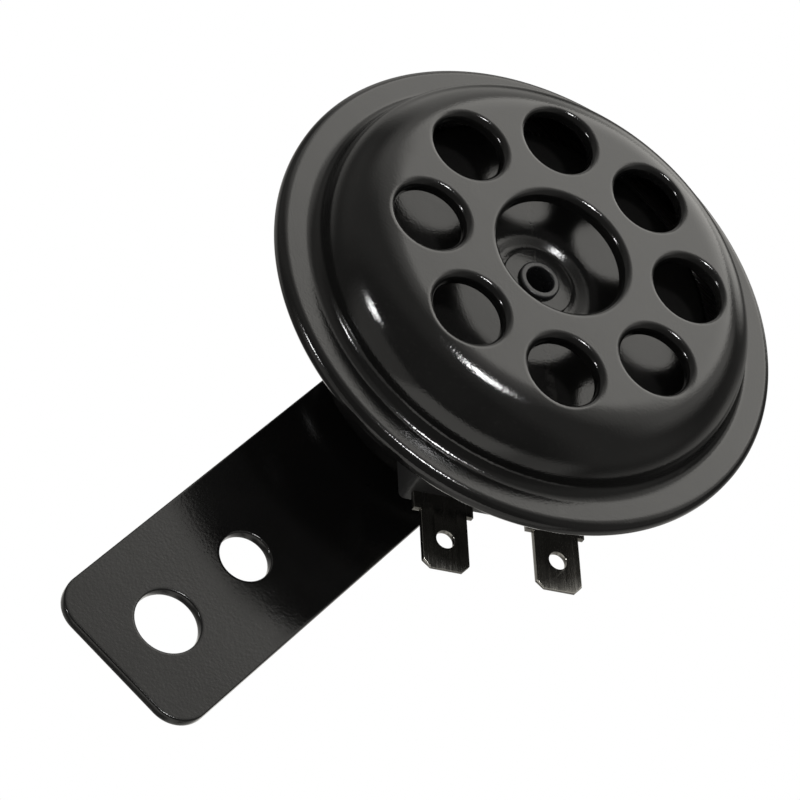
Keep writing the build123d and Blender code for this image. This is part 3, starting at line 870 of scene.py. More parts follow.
SPRING_STEEL = Metal(
    "spring_steel", bright=(0.5, 0.49, 0.47, 1.0), dull=(0.38, 0.37, 0.36, 1.0), roughness=0.26
)
CONTACT_METAL = Metal(
    "contact_metal", bright=(0.6, 0.6, 0.6, 1.0), dull=(0.48, 0.48, 0.5, 1.0), roughness=0.35
)
COPPER_WIRE = Metal(
    "copper_wire", bright=(0.72, 0.33, 0.16, 1.0), dull=(0.5, 0.2, 0.1, 1.0), roughness=0.3, line_scale=120.0
)
MOULDED_PLASTIC = Moulding("moulded_plastic", colour=grey(0.012), patch_colour=grey(0.018), roughness=0.38)
BOBBIN_PLASTIC = Moulding(
    "bobbin_plastic", colour=grey(0.55, 0.08), patch_colour=grey(0.6, 0.08), roughness=0.42
)
STRIP_INSULATION = Moulding(
    "strip_insulation", colour=(0.22, 0.1, 0.04, 1.0), patch_colour=(0.28, 0.13, 0.06, 1.0)
)
GASKET_PAPER = Moulding(
    "gasket_paper", colour=(0.16, 0.15, 0.14, 1.0), patch_colour=(0.2, 0.19, 0.17, 1.0), roughness=0.8
)
LACQUER = Moulding(
    "lacquer",
    colour=(0.35, 0.02, 0.015, 1.0),
    patch_colour=(0.42, 0.03, 0.02, 1.0),
    roughness=0.14,
    texture_depth=0.1,
)

KEPT_NODES = {
    GASKET_PAPER: ("front_gasket", "rear_gasket"),
    SPRING_STEEL: ("diaphragm", "moving_contact_arm"),
    SOFT_IRON: ("armature", "yoke_plate"),
    ZINC_STEEL: (
        "front_spacer",
        "rear_spacer",
        "breaker_bracket",
        "fixed_contact_arm",
        "clamp_plate",
        "breaker_rivets",
        "adjuster_nut",
    ),
    CONTACT_METAL: ("moving_contact_point", "fixed_contact_point"),
    COPPER_WIRE: ("coil_winding", "terminal_lead", "coil_lead", "breaker_lead"),
    BOBBIN_PLASTIC: ("coil_bobbin", "push_pin"),
    STRIP_INSULATION: ("rear_insulator", "middle_insulator", "front_insulator"),
}


# Front cover


@dataclass
class FrontCover:
    """Domed cover: one sector with its flanged sound hole, repeated round the axis."""

    seat: Seat
    radius: float = 35.0
    sheet: float = STEEL_SHEET
    dome_depth: float = 8.0
    opening_radius: float = 8.9
    opening_lip: float = 2.0
    lip_fillet: float = 1.0
    wall_top_radius: float = 28.507
    wall_foot_radius: float = 29.9
    foot_rise: float = 0.1
    hem_inner_radius: float = 32.0
    hem_rear: float = -11.0
    shoulder_fillet: float = 7.5
    rim_corner: float = 0.75
    rim_sink: float = 0.6
    rim_round: float = 1.2
    sunk_foot_radius: float = 30.0
    foot_fillet: float = 1.7
    inner_foot_fillet: float = 1.0
    hole_count: int = 8
    hole_circle: float = 18.1035
    hole_radius: float = 4.8
    hole_lip: float = 1.9
    hole_phase: float = 84.4
    grid_inner: float = 10.6
    grid_outer: float = 25.2
    grid_gap: float = 0.02
    outer_steps: int = 32
    inner_steps: int = 16
    side_steps: int = 24
    lip_steps: int = 10
    front_shares: tuple[float, ...] = (
        0.02, 0.07, 0.14, 0.22, 0.3, 0.39, 0.48, 0.57, 0.66, 0.75, 0.84, 0.92, 1.0,
    )
    back_shares: tuple[float, ...] = (0.03, 0.3, 0.55, 0.8, 1.0)
    tube_start: float = 0.12
    edge: float = 0.1
    sharp: float = 50.0

    def shoulder_drop(self, radius: np.ndarray, inside: float) -> np.ndarray:
        """Level of the dome's skin near the shoulder, for the outer skin or a skin inside it.

        Args:
            radius: Distance from the axis.
            inside: How far the skin lies inside the outer one.

        Returns:
            The skin's level at each radius.
        """
        draft = math.atan2(self.wall_foot_radius - self.wall_top_radius, self.dome_depth - self.foot_rise)
        start = self.wall_top_radius - self.shoulder_fillet * math.tan((math.pi / 2 - draft) / 2)
        bend = self.shoulder_fillet - inside
        run = np.clip(np.asarray(radius) - start, 0.0, bend)
        return -inside - (bend - np.sqrt(bend**2 - run**2))

    def boundary(self) -> np.ndarray:
        """Go round the sector's edge, alike on its two sides.

        Returns:
            Rows of radius and angle, once round.
        """
        half = math.pi / self.hole_count
        outer = [(self.grid_outer, a) for a in np.linspace(-half, half, self.outer_steps + 1)[:-1]]
        up = [(r, half) for r in np.linspace(self.grid_outer, self.grid_inner, self.side_steps + 1)[:-1]]
        inner = [(self.grid_inner, a) for a in np.linspace(half, -half, self.inner_steps + 1)[:-1]]
        down = [(r, -half) for r in np.linspace(self.grid_inner, self.grid_outer, self.side_steps + 1)[:-1]]
        return np.array(outer + up + inner + down)

    def spoke_rings(
        self, distances: Sequence[float], drops: Sequence[float], inside: float, outward: Sequence[float]
    ) -> np.ndarray:
        """Rings from round the sound hole out to the sector's edge.

        Args:
            distances: Distance from the hole's centre of each ring near the hole.
            drops: How far each of those rings lies under the dome's skin.
            inside: How far the skin lies inside the outer one.
            outward: Shares of the way from the last of those rings to the edge.

        Returns:
            Rings by spokes by 3.
        """
        edge = self.boundary()
        rim = np.column_stack((edge[:, 0] * np.cos(edge[:, 1]), edge[:, 0] * np.sin(edge[:, 1])))
        centre = np.array((self.hole_circle, 0.0))
        away = rim - centre
        away /= np.linalg.norm(away, axis=1)[:, None]
        rings = []
        for distance, drop in zip(distances, drops):
            flat = centre + away * distance
            level = self.shoulder_drop(np.linalg.norm(flat, axis=1), inside) - drop
            rings.append(np.column_stack((flat, level)))
        last = centre + away * distances[-1]
        for share in outward:
            flat = last + (rim - last) * share
            level = self.shoulder_drop(np.linalg.norm(flat, axis=1), inside)
            rings.append(np.column_stack((flat, level)))
        return np.array(rings)

    def sound_hole(self, skin: Skin) -> None:
        """Draw the flanged sound hole and the skins round it.

        Args:
            skin: The skin that takes the patches.
        """
        bend = np.radians(np.linspace(0, 90, self.lip_steps + 1))
        reach = self.hole_radius + self.lip_fillet
        distances = list(reach - self.lip_fillet * np.cos(bend))
        drops = list(self.lip_fillet * (1 - np.sin(bend)))
        front = self.spoke_rings(distances, drops, 0.0, self.front_shares)
        tube_inner, tube_outer = self.hole_radius, self.hole_radius + self.sheet
        back = self.spoke_rings([tube_outer], [0.0], self.sheet, self.back_shares)
        around = front[0, :, :2] - (self.hole_circle, 0.0)
        around /= np.linalg.norm(around, axis=1)[:, None]

        def tube_ring(radius: float, level: np.ndarray | float) -> np.ndarray:
            """Ring of the hole's tube at one level."""
            flat = around * radius + (self.hole_circle, 0.0)
            return np.column_stack((flat, np.broadcast_to(level, len(flat))))

        end, edge, middle = -self.hole_lip, self.edge, EDGE_MIDDLE * self.edge
        wall = [
            front[0],
            tube_ring(tube_inner, front[0, :, 2] - self.tube_start),
            tube_ring(tube_inner, end + edge),
            tube_ring(tube_inner + middle, end + middle),
            tube_ring(tube_inner + edge, end),
            tube_ring(tube_outer - edge, end),
            tube_ring(tube_outer - middle, end + middle),
            tube_ring(tube_outer, end + edge),
            back[0],
        ]
        for rings in (front, np.array(wall), back):
            skin.add_grid(rings, close_columns=True)

    def outer_strip(self) -> np.ndarray:
        """Section from the grid's edge over the shoulder, wall, foot and rim to the hem and back inside.

        Returns:
            Rows of radius and level along the section.
        """
        front = -self.dome_depth
        top = [Corner(self.wall_top_radius, 0.0, self.shoulder_fillet), Corner(self.opening_radius, 0.0)]
        hidden = [
            Corner(self.hem_inner_radius, self.hem_rear),
            Corner(self.radius, self.hem_rear, self.rim_corner),
            Corner(self.radius, front, self.rim_corner + self.sheet),
            Corner(self.wall_foot_radius, front, self.inner_foot_fillet),
        ]
        sunk = front - self.rim_sink
        shown = [
            Corner(self.hem_inner_radius, self.hem_rear, self.edge),
            Corner(self.radius, self.hem_rear, self.rim_corner),
            Corner(self.radius, sunk, self.rim_round),
            Corner(self.sunk_foot_radius, sunk, self.foot_fillet),
        ]
        inner = beside(hidden + top, self.sheet)
        inner[0] = Corner(inner[0].x, inner[0].y, self.edge)
        section = rounded(list(reversed(inner)) + shown + top, closed=False, arc_step=5.0)
        cut = section[section[:, 0] > self.grid_outer + self.grid_gap]
        inner_end = (self.grid_outer, float(self.shoulder_drop(self.grid_outer, self.sheet)))
        outer_end = (self.grid_outer, float(self.shoulder_drop(self.grid_outer, 0.0)))
        return np.vstack(([inner_end], cut, [outer_end]))

    def inner_strip(self) -> np.ndarray:
        """Section of the rolled opening, from the grid's edge round the lip and back inside.

        Returns:
            Rows of radius and level along the section.
        """
        corners = [
            Corner(self.grid_inner, 0.0),
            Corner(self.opening_radius, 0.0, self.lip_fillet),
            Corner(self.opening_radius, -self.opening_lip, self.edge),
            Corner(self.opening_radius + self.sheet, -self.opening_lip, self.edge),
            Corner(self.opening_radius + self.sheet, -self.sheet, self.lip_fillet - self.sheet),
            Corner(self.grid_inner, -self.sheet),
        ]
        return rounded(corners, closed=False, arc_step=9.0, support=0.08)

    def sector(self) -> bpy.types.Mesh:
        """Draw one sector, in metres about the horn's own axis.

        Returns:
            The sector's mesh, with open sides.
        """
        skin = Skin()
        self.sound_hole(skin)
        half = math.pi / self.hole_count
        strips = ((self.outer_strip(), self.outer_steps), (self.inner_strip(), self.inner_steps))
        for section, steps in strips:
            skin.add_grid(revolved(section, np.linspace(-half, half, steps + 1)))
        mesh = bpy.data.meshes.new("cover_sector")
        points = turned(np.vstack(skin.points), self.hole_phase) * MM
        mesh.from_pydata(points.tolist(), [], skin.faces)
        return mesh

    def build(self, finish: Finish) -> bpy.types.Object:
        """Repeat the sector round the axis, close the seams and seat the cover.

        Args:
            finish: The finish that dresses it.

        Returns:
            The finished object.
        """
        mesh = repeated_about_axis(self.sector(), self.hole_count, WELD_DISTANCE * MM, finish.material())
        points = np.array([v.co for v in mesh.vertices])
        mesh.vertices.foreach_set("co", self.seat.place(points / MM).ravel())
        mesh.name = "cover_skin"
        return finish_mesh(mesh, FIXED_BODY, finish, ["front_cover"], self.sharp)


def repeated_about_axis(
    mesh: bpy.types.Mesh, count: int, weld: float, material: bpy.types.Material
) -> bpy.types.Mesh:
    """Repeat a mesh round its Z axis with Geometry Nodes and weld the copies.

    Args:
        mesh: The mesh of one repeat.
        count: How many repeats make the full turn.
        weld: Distance under which points are merged.
        material: The material that the result wears.

    Returns:
        A plain mesh of all the repeats.
    """
    tree = bpy.data.node_groups.new("repeat_about_axis", "GeometryNodeTree")
    kinds = {"Geometry": "Geometry", "Count": "Int", "Weld": "Float", "Material": "Material"}
    sockets = {
        label: tree.interface.new_socket(label, in_out="INPUT", socket_type="NodeSocket" + kind)
        for label, kind in kinds.items()
    }
    tree.interface.new_socket("Geometry", in_out="OUTPUT", socket_type="NodeSocketGeometry")
    wiring = Wiring(tree)
    source, target = wiring.node("NodeGroupInput"), wiring.node("NodeGroupOutput")
    spots = wiring.node("GeometryNodeMeshLine", {"Count": source.outputs["Count"], "Offset": (0.0, 0.0, 0.0)})
    step = wiring.maths("DIVIDE", 2 * math.pi, source.outputs["Count"])
    angle = wiring.maths("MULTIPLY", wiring.node("GeometryNodeInputIndex").outputs[0], step)
    turn = wiring.node("ShaderNodeCombineXYZ", {"Z": angle}).outputs[0]
    copies = wiring.node(
        "GeometryNodeInstanceOnPoints",
        {"Points": spots.outputs[0], "Instance": source.outputs["Geometry"], "Rotation": turn},
    )
    real = wiring.node("GeometryNodeRealizeInstances", {"Geometry": copies.outputs[0]})
    merged = wiring.node(
        "GeometryNodeMergeByDistance", {"Geometry": real.outputs[0], "Distance": source.outputs["Weld"]}
    )
    dressed = wiring.node(
        "GeometryNodeSetMaterial", {"Geometry": merged.outputs[0], "Material": source.outputs["Material"]}
    )
    tree.links.new(dressed.outputs[0], target.inputs["Geometry"])

    carrier = placed("repeat_carrier", mesh)
    modifier = carrier.modifiers.new("repeat", "NODES")
    modifier.node_group = tree
    for label, value in (("Count", count), ("Weld", weld), ("Material", material)):
        modifier[sockets[label].identifier] = value
    evaluated = carrier.evaluated_get(bpy.context.evaluated_depsgraph_get())
    result = bpy.data.meshes.new_from_object(evaluated)
    bpy.data.objects.remove(carrier)
    return result


# Vibrating stack seen through the openings


@dataclass
class SoundStack:
    """Tone disc, hub washer and hollow rivet, which vibrate together."""

    seat: Seat
    segments: int = 192
    disc_radius: float = 25.007
    disc_sheet: float = 0.8
    disc_front: float = -7.0
    disc_centre_front: float = -7.6
    disc_flat_radius: float = 5.9
    disc_slope_radius: float = 7.5
    disc_edge_drop: float = 0.5
    disc_centre_fillet: float = 1.6
    disc_slope_fillet: float = 3.0
    disc_edge_fillet: float = 1.2
    bore_radius: float = 2.45
    washer_radius: float = 4.9
    washer_thickness: float = 0.6
    washer_edge: float = 0.12
    rivet_head_radius: float = 2.8
    rivet_head: float = 0.6
    rivet_shank_radius: float = 2.4
    rivet_bore_radius: float = 1.9
    rivet_end: float = -13.3
    rivet_floor: float = 0.5
    rivet_foot_fillet: float = 0.06
    rivet_mouth_fillet: float = 0.22
    rivet_floor_fillet: float = 0.3
    rivet_end_fillet: float = 0.1

    def angles(self) -> np.ndarray:
        """Directions of the section's copies round the axis."""
        return 2 * math.pi * np.arange(self.segments) / self.segments

    def tone_disc(self, finish: Finish) -> bpy.types.Object:
        """Draw the dished disc: flat centre, steep bowl, flat ring and turned edge.

        Args:
            finish: The finish that dresses it.

        Returns:
            The finished object.
        """
        rear = self.disc_front - self.disc_sheet
        centre_rear = self.disc_centre_front - self.disc_sheet
        edge = self.disc_radius - self.disc_sheet
        corners = [
            Corner(self.bore_radius, centre_rear),
            Corner(self.disc_flat_radius, centre_rear, self.disc_centre_fillet + self.disc_sheet),
            Corner(self.disc_slope_radius, rear, self.disc_slope_fillet - self.disc_sheet),
            Corner(edge, rear, self.disc_edge_fillet - self.disc_sheet),
            Corner(edge, rear - self.disc_edge_drop),
        ]
        skin = Skin()
        skin.add_revolved(sheet_section(corners, self.disc_sheet), self.angles())
        return skin.finish("tone_disc_skin", self.seat, MOVING_BODY, finish, ["tone_disc"])

    def hub_washer(self, finish: Finish) -> bpy.types.Object:
        """Draw the washer under the rivet's head.

        Args:
            finish: The finish that dresses it.

        Returns:
            The finished object.
        """
        rear = self.disc_centre_front
        front = rear + self.washer_thickness
        skin = Skin()
        section = ring_section(self.washer_radius, self.bore_radius, front, rear, self.washer_edge)
        skin.add_revolved(section, self.angles())
        return skin.finish("hub_washer_skin", self.seat, MOVING_BODY, finish, ["hub_washer"])

    def centre_rivet(self, finish: Finish) -> bpy.types.Object:
        """Draw the hollow rivet with its rolled head.

        Args:
            finish: The finish that dresses it.

        Returns:
            The finished object.
        """
        base = self.disc_centre_front + self.washer_thickness
        front, floor = base + self.rivet_head, self.rivet_end + self.rivet_floor
        corners = [
            Corner(self.rivet_head_radius, base, self.rivet_foot_fillet),
            Corner(self.rivet_head_radius, front, self.rivet_head / 2),
            Corner(self.rivet_bore_radius, front, self.rivet_mouth_fillet),
            Corner(self.rivet_bore_radius, floor, self.rivet_floor_fillet),
            Corner(0.0, floor),
            Corner(0.0, self.rivet_end),
            Corner(self.rivet_shank_radius, self.rivet_end, self.rivet_end_fillet),
            Corner(self.rivet_shank_radius, base),
        ]
        skin = Skin()
        skin.add_revolved(rounded(corners, closed=True), self.angles())
        return skin.finish("centre_rivet_skin", self.seat, MOVING_BODY, finish, ["centre_rivet"])


# Rear housing and what its floor carries


@dataclass
class RearHousing:
    """Drawn cup with its clamped flange, terminal window and the holes in its floor."""

    seat: Seat
    segments: int = 192
    window_steps: int = 30
    hole_segments: int = 32
    sheet: float = STEEL_SHEET
    rear: float = HOUSING_REAR
    hem_front: float = -10.3
    cone_depth: float = 3.7
    clamped_radius: float = 34.2
    flange_inner_radius: float = 29.2
    cup_radius: float = CUP_RADIUS
    cup_corner: float = 2.5
    cone_fillet: float = 2.0
    flange_fillet: float = 1.2
    stud_hole: float = STUD_HOLE
    floor_line_start: float = 1.0
    window_half: float = 11.1
    window_front: float = -19.9
    window_rear: float = -23.6
    screw_clearance: float = 0.1

    def angles(self) -> np.ndarray:
        """Directions round the axis, with the window's two sides among them.

        Returns:
            The directions, in radians.
        """
        half = math.degrees(math.asin(self.window_half / self.cup_radius))
        inside = np.linspace(-half, half, self.window_steps + 1)
        outside = np.linspace(half, 360 - half, self.segments - self.window_steps + 1)[1:-1]
        return np.radians(TERMINAL_ANGLE + np.concatenate((inside, outside)))

    def floor_holes(self) -> list[tuple[float, tuple[float, float]]]:
        """List the holes in the floor.

        Returns:
            Each hole's radius and centre.
        """
        screw, rivet = turned(np.array([SCREW_SPOT, FOOT_RIVET_SPOT]), BREAKER_ANGLE)
        return [
            (self.stud_hole, (0.0, 0.0)),
            (SCREW_RADIUS + self.screw_clearance, tuple(screw)),
            (FOOT_RIVET_RADIUS, tuple(rivet)),
        ]

    def wall_lines(self) -> tuple[np.ndarray, np.ndarray]:
        """Outer and inner lines of the cup, from the floor up to the flange's edge.

        Returns:
            Rows of radius and level along each of the two lines.
        """
        line = [
            Corner(self.stud_hole, self.rear),
            Corner(self.cup_radius, self.rear, self.cup_corner),
            Corner(self.cup_radius, self.hem_front - self.cone_depth, self.cone_fillet),
            Corner(self.flange_inner_radius, self.hem_front, self.flange_fillet),
            Corner(self.clamped_radius, self.hem_front),
        ]
        lines = []
        for corners in (line, beside(line, self.sheet)):
            sampled = rounded(corners, closed=False, arc_step=7.5)
            sampled = sampled[sampled[:, 0] > self.stud_hole + self.floor_line_start]
            wall = self.cup_radius if corners is line else self.cup_radius - self.sheet
            extra = [(wall, z) for z in (self.window_rear, self.window_front)]
            start = int(np.argmax(sampled[:, 1] > self.window_rear))
            lines.append(np.vstack((sampled[:start], extra, sampled[start:])))
        return lines[0], lines[1]

    def build(self, finish: Finish) -> bpy.types.Object:
        """Draw the cup's walls, window, flange edge and pierced floor.

        Args:
            finish: The finish that dresses it.

        Returns:
            The finished object.
        """
        skin = Skin()
        angles, steps = self.angles(), self.window_steps
        sides = []
        for line in self.wall_lines():
            rows = revolved(line, angles)
            gap = int(np.argmin(np.abs(line[:, 1] - self.window_rear)))
            band = rows[:, gap : gap + 2]
            skin.add_grid(rows[:, : gap + 1], close_rows=True)
            skin.add_grid(rows[:, gap + 1 :], close_rows=True)
            skin.add_grid(np.concatenate((band[steps:], band[:1])))
            sides.append((rows, band[: steps + 1]))
        (front_rows, front_window), (back_rows, back_window) = sides
        skin.add_grid(np.stack((front_rows[:, -1], back_rows[:, -1]), axis=1), close_rows=True)
        for sill in (0, 1):
            skin.add_grid(np.stack((front_window[:, sill], back_window[:, sill]), axis=1))
        for jamb in (0, steps):
            skin.add_grid(np.stack((front_window[jamb], back_window[jamb])))
        holes = [circle(radius, self.hole_segments, centre)[::-1] for radius, centre in self.floor_holes()]
        levels = (self.rear, self.rear + self.sheet)
        for rows, level in zip((front_rows, back_rows), levels):
            skin.add_flat([rows[:, 0, :2], *holes], level)
        for loop in holes:
            skin.add_grid(np.array([at_level(loop, level) for level in levels]), close_columns=True)
        return skin.finish("housing_skin", self.seat, FIXED_BODY, finish, ["rear_housing"])


# Terminals


@dataclass
class Terminals:
    """Moulded block on the side of the cup and its two push-on tabs."""

    seat: Seat
    angle: float = TERMINAL_ANGLE
    cup_radius: float = CUP_RADIUS
    block_outer: float = 25.0
    block_half: float = 13.0
    block_front: float = -19.0
    block_rear: float = -24.5
    block_corner: float = 0.8
    block_edge: float = 0.3
    seat_steps: int = 48
    tongue_half: float = 11.0
    tongue_inner: float = 18.8
    tongue_wall: float = 1.0
    tongue_edge: float = 0.1
    tab_front: float = -22.1
    tab_sheet: float = 0.8
    tab_edge: float = 0.07
    tab_sharp: float = 20.0
    tab_half: float = 3.15
    shoulder_half: float = 4.1
    shoulder_x: float = 27.4
    tip_x: float = 35.6
    tip_corner: float = 1.0
    tip_bevel: float = 1.3
    tip_thinning: float = 0.22
    hole_radius: float = 1.25
    hole_from_tip: float = 4.3
    hole_segments: int = 48
    tail_half: float = 1.8
    tail_x: float = 17.2
    anchor_x: float = 21.2
    spacing: float = 15.7

    def block(self, finish: Finish) -> bpy.types.Object:
        """Draw the block with softened edges, hollowed to sit on the cup, and the tongue in its window.

        Args:
            finish: The finish that dresses it.

        Returns:
            The finished object.
        """
        reach = math.asin(self.block_half / self.cup_radius)
        ends = (-self.block_half, self.block_half)
        outline = [Corner(self.block_outer, end, self.block_corner) for end in ends]
        for angle in np.linspace(reach, -reach, self.seat_steps + 1):
            outline.append(Corner(self.cup_radius * math.cos(angle), self.cup_radius * math.sin(angle)))
        skin = Skin()
        loop = rounded(outline, closed=True, arc_step=15.0, support=1.0)
        skin.add_plate(turned(loop, self.angle), [], self.block_front, self.block_rear, self.block_edge)
        inner, outer, half = self.tongue_inner, self.block_outer - self.tongue_wall, self.tongue_half
        tongue = [Corner(x, y) for x, y in ((inner, -half), (outer, -half), (outer, half), (inner, half))]
        front, rear = self.block_front - self.tongue_wall, self.block_rear + self.tongue_wall
        loop = turned(rounded(tongue, closed=True), self.angle)
        skin.add_plate(loop, [], front, rear, self.tongue_edge)
        return skin.finish("terminal_block_skin", self.seat, FIXED_BODY, finish, ["terminal_block"])

    def tab(self, name: str, node: str, centre: float, finish: Finish) -> bpy.types.Object:
        """Draw one tab: solder tail, wide shoulder, blade with cut corners, bevelled tip and hole.

        Args:
            name: The new object's name.
            node: The CAD node that it stands for.
            centre: The tab's distance from the block's middle line.
            finish: The finish that dresses it.

        Returns:
            The finished object.
        """
        half = [
            (self.tail_x, self.tail_half),
            (self.anchor_x, self.tail_half),
            (self.anchor_x, self.shoulder_half),
            (self.shoulder_x, self.shoulder_half),
            (self.shoulder_x, self.tab_half),
            (self.tip_x - self.tip_bevel, self.tab_half),
            (self.tip_x - self.tip_corner, self.tab_half),
            (self.tip_x, self.tab_half - self.tip_corner),
        ]
        outline = np.array([(x, -y) for x, y in half] + [(x, y) for x, y in reversed(half)])
        hole = circle(self.hole_radius, self.hole_segments, (self.tip_x - self.hole_from_tip, 0.0))[::-1]
        skin = Skin()
        skin.add_plate(outline, [hole], 0.0, -self.tab_sheet, self.tab_edge)
        points = np.vstack(skin.points)
        start = self.tip_x - self.tip_bevel
        share = np.clip((points[:, 0] - start) / self.tip_bevel, 0.0, 1.0)
        middle = -self.tab_sheet / 2
        points[:, 2] = middle + (points[:, 2] - middle) * (1 - share * 2 * self.tip_thinning / self.tab_sheet)
        points += (0.0, centre, self.tab_front)
        skin.points = [turned(points, self.angle)]
        return skin.finish(name, self.seat, FIXED_BODY, finish, [node], self.tab_sharp)

    def build(self, block_finish: Finish, tab_finish: Finish) -> None:
        """Build the block and both tabs.

        Args:
            block_finish: The moulding of the block.
            tab_finish: The metal of the tabs.
        """
        self.block(block_finish)
        self.tab("coil_tab_skin", "coil_terminal", -self.spacing / 2, tab_finish)
        self.tab("breaker_tab_skin", "breaker_terminal", self.spacing / 2, tab_finish)


# Bracket and its fastening


@dataclass
class BracketMount:
    """Strip bracket, clamped on the threaded stud by a spacer, a split washer and a nut."""

    seat: Seat
    stud_radius: float = 3.0
    stud_hole: float = STUD_HOLE
    thread_pitch: float = 1.0
    thread_root: float = 2.39
    stud_end: float = -39.8
    stud_chamfer: float = 0.6
    stud_segments: int = 64
    stud_sharp: float = 30.0
    thread_length: float = 3.2
    thread_run_out: float = 0.4
    thread_steps: int = 12
    thread_slope: float = 1.15
    core_radius: float = 5.6
    core_front: float = -14.55
    core_edge: float = 0.2
    yoke_front: float = -25.5
    spacer_radius: float = 8.0
    spacer: float = 2.0
    spacer_edge: float = 0.2
    spacer_step: float = 3.0
    strip: float = 1.5
    strip_width: float = 22.6
    strip_corner: float = 4.2
    strip_edge: float = 0.22
    strip_low: float = -11.3
    strip_high: float = 70.9
    large_hole: float = 4.25
    small_hole: float = 3.4
    large_hole_y: float = 61.2
    small_hole_y: float = 46.3
    hole_segments: int = 96
    stud_hole_segments: int = 48
    washer_radius: float = 5.9
    washer: float = 1.6
    washer_gap: float = 1.0
    washer_edge: float = 0.15
    washer_steps: int = 96
    nut_flats: float = 10.0
    nut_height: float = 5.0
    nut_thread_mouth: float = 3.35
    nut_mouth_depth: float = 0.35
    nut_step: float = 2.5
    nut_edge: float = 0.12
    nut_bevel_slope: float = 0.55
    nut_face_inset: float = 0.05
    nut_sharp: float = 25.0

    def bracket(self, finish: Finish) -> bpy.types.Object:
        """Draw the strip with rounded corners, its stud hole and its two mounting holes.

        Args:
            finish: The finish that dresses it.

        Returns:
            The finished object.
        """
        half, low, high = self.strip_width / 2, self.strip_low, self.strip_high
        places = ((-half, low), (half, low), (half, high), (-half, high))
        corners = [Corner(x, y, self.strip_corner) for x, y in places]
        outline = rounded(corners, closed=True, arc_step=6.0, support=2.0)
        holes = [
            circle(self.stud_hole, self.stud_hole_segments)[::-1],
            circle(self.small_hole, self.hole_segments, (0.0, self.small_hole_y))[::-1],
            circle(self.large_hole, self.hole_segments, (0.0, self.large_hole_y))[::-1],
        ]
        front = HOUSING_REAR - self.spacer
        skin = Skin()
        skin.add_plate(outline, holes, front, front - self.strip, self.strip_edge)
        return skin.finish("bracket_skin", self.seat, FIXED_BODY, finish, ["mounting_bracket"])

    def spacer_washer(self, finish: Finish) -> bpy.types.Object:
        """Draw the thick washer between the housing and the strip.

        Args:
            finish: The finish that dresses it.

        Returns:
            The finished object.
        """
        skin = Skin()
        front, rear = HOUSING_REAR, HOUSING_REAR - self.spacer
        section = ring_section(self.spacer_radius, self.stud_hole, front, rear, self.spacer_edge)
        skin.add_revolved(section, np.radians(np.arange(0, 360, self.spacer_step)))
        return skin.finish("spacer_washer_skin", self.seat, FIXED_BODY, finish, ["spacer_washer"])

    def lock_washer(self, finish: Finish) -> bpy.types.Object:
        """Draw the split spring washer: a ring section swept from one side of its gap to the other.

        Args:
            finish: The finish that dresses it.

        Returns:
            The finished object.
        """
        front = HOUSING_REAR - self.spacer - self.strip
        rear = front - self.washer
        section = ring_section(self.washer_radius, self.stud_hole, front, rear, self.washer_edge)
        start = np.arcsin(self.washer_gap / 2 / section[:, 0])
        rows = []
        for share in np.linspace(0, 1, self.washer_steps + 1):
            angle = start + (2 * math.pi - 2 * start) * share
            radius, level = section.T
            rows.append(np.column_stack((radius * np.cos(angle), radius * np.sin(angle), level)))
        skin = Skin()
        skin.add_grid(np.array(rows), close_columns=True)
        for row in (rows[0], rows[-1]):
            first = skin.add_points(row)
            skin.faces.append(tuple(range(first, first + len(row))))
        return skin.finish("lock_washer_skin", self.seat, FIXED_BODY, finish, ["lock_washer"])

    def nut(self, finish: Finish) -> bpy.types.Object:
        """Draw the hexagon nut: in each direction the flat's distance, the chamfer and the thread's mouth.

        Args:
            finish: The finish that dresses it.

        Returns:
            The finished object.
        """
        front = HOUSING_REAR - self.spacer - self.strip - self.washer
        rear = front - self.nut_height
        flat, edge = self.nut_flats / 2, self.nut_edge
        rows = []
        for degrees in np.arange(0, 360, self.nut_step):
            off_flat = math.radians((degrees + 30) % 60 - 30)
            reach = flat / math.cos(off_flat)
            bevel = max(self.nut_bevel_slope * (reach - flat), 0.0)
            section = [
                (self.nut_thread_mouth, front),
                (reach - edge, front),
                (reach, front - edge),
                (reach, rear + bevel + edge),
                (reach - edge / 2, rear + bevel + EDGE_MIDDLE * edge),
                (flat - self.nut_face_inset, rear),
                (self.nut_thread_mouth, rear),
                (self.stud_radius, rear + self.nut_mouth_depth),
                (self.stud_radius, front - self.nut_mouth_depth),
            ]
            angle = math.radians(degrees)
            rows.append([(r * math.cos(angle), r * math.sin(angle), z) for r, z in section])
        skin = Skin()
        skin.add_grid(np.array(rows), close_rows=True, close_columns=True)
        nodes = ["mounting_nut"]
        return skin.finish("mounting_nut_skin", self.seat, FIXED_BODY, finish, nodes, self.nut_sharp)

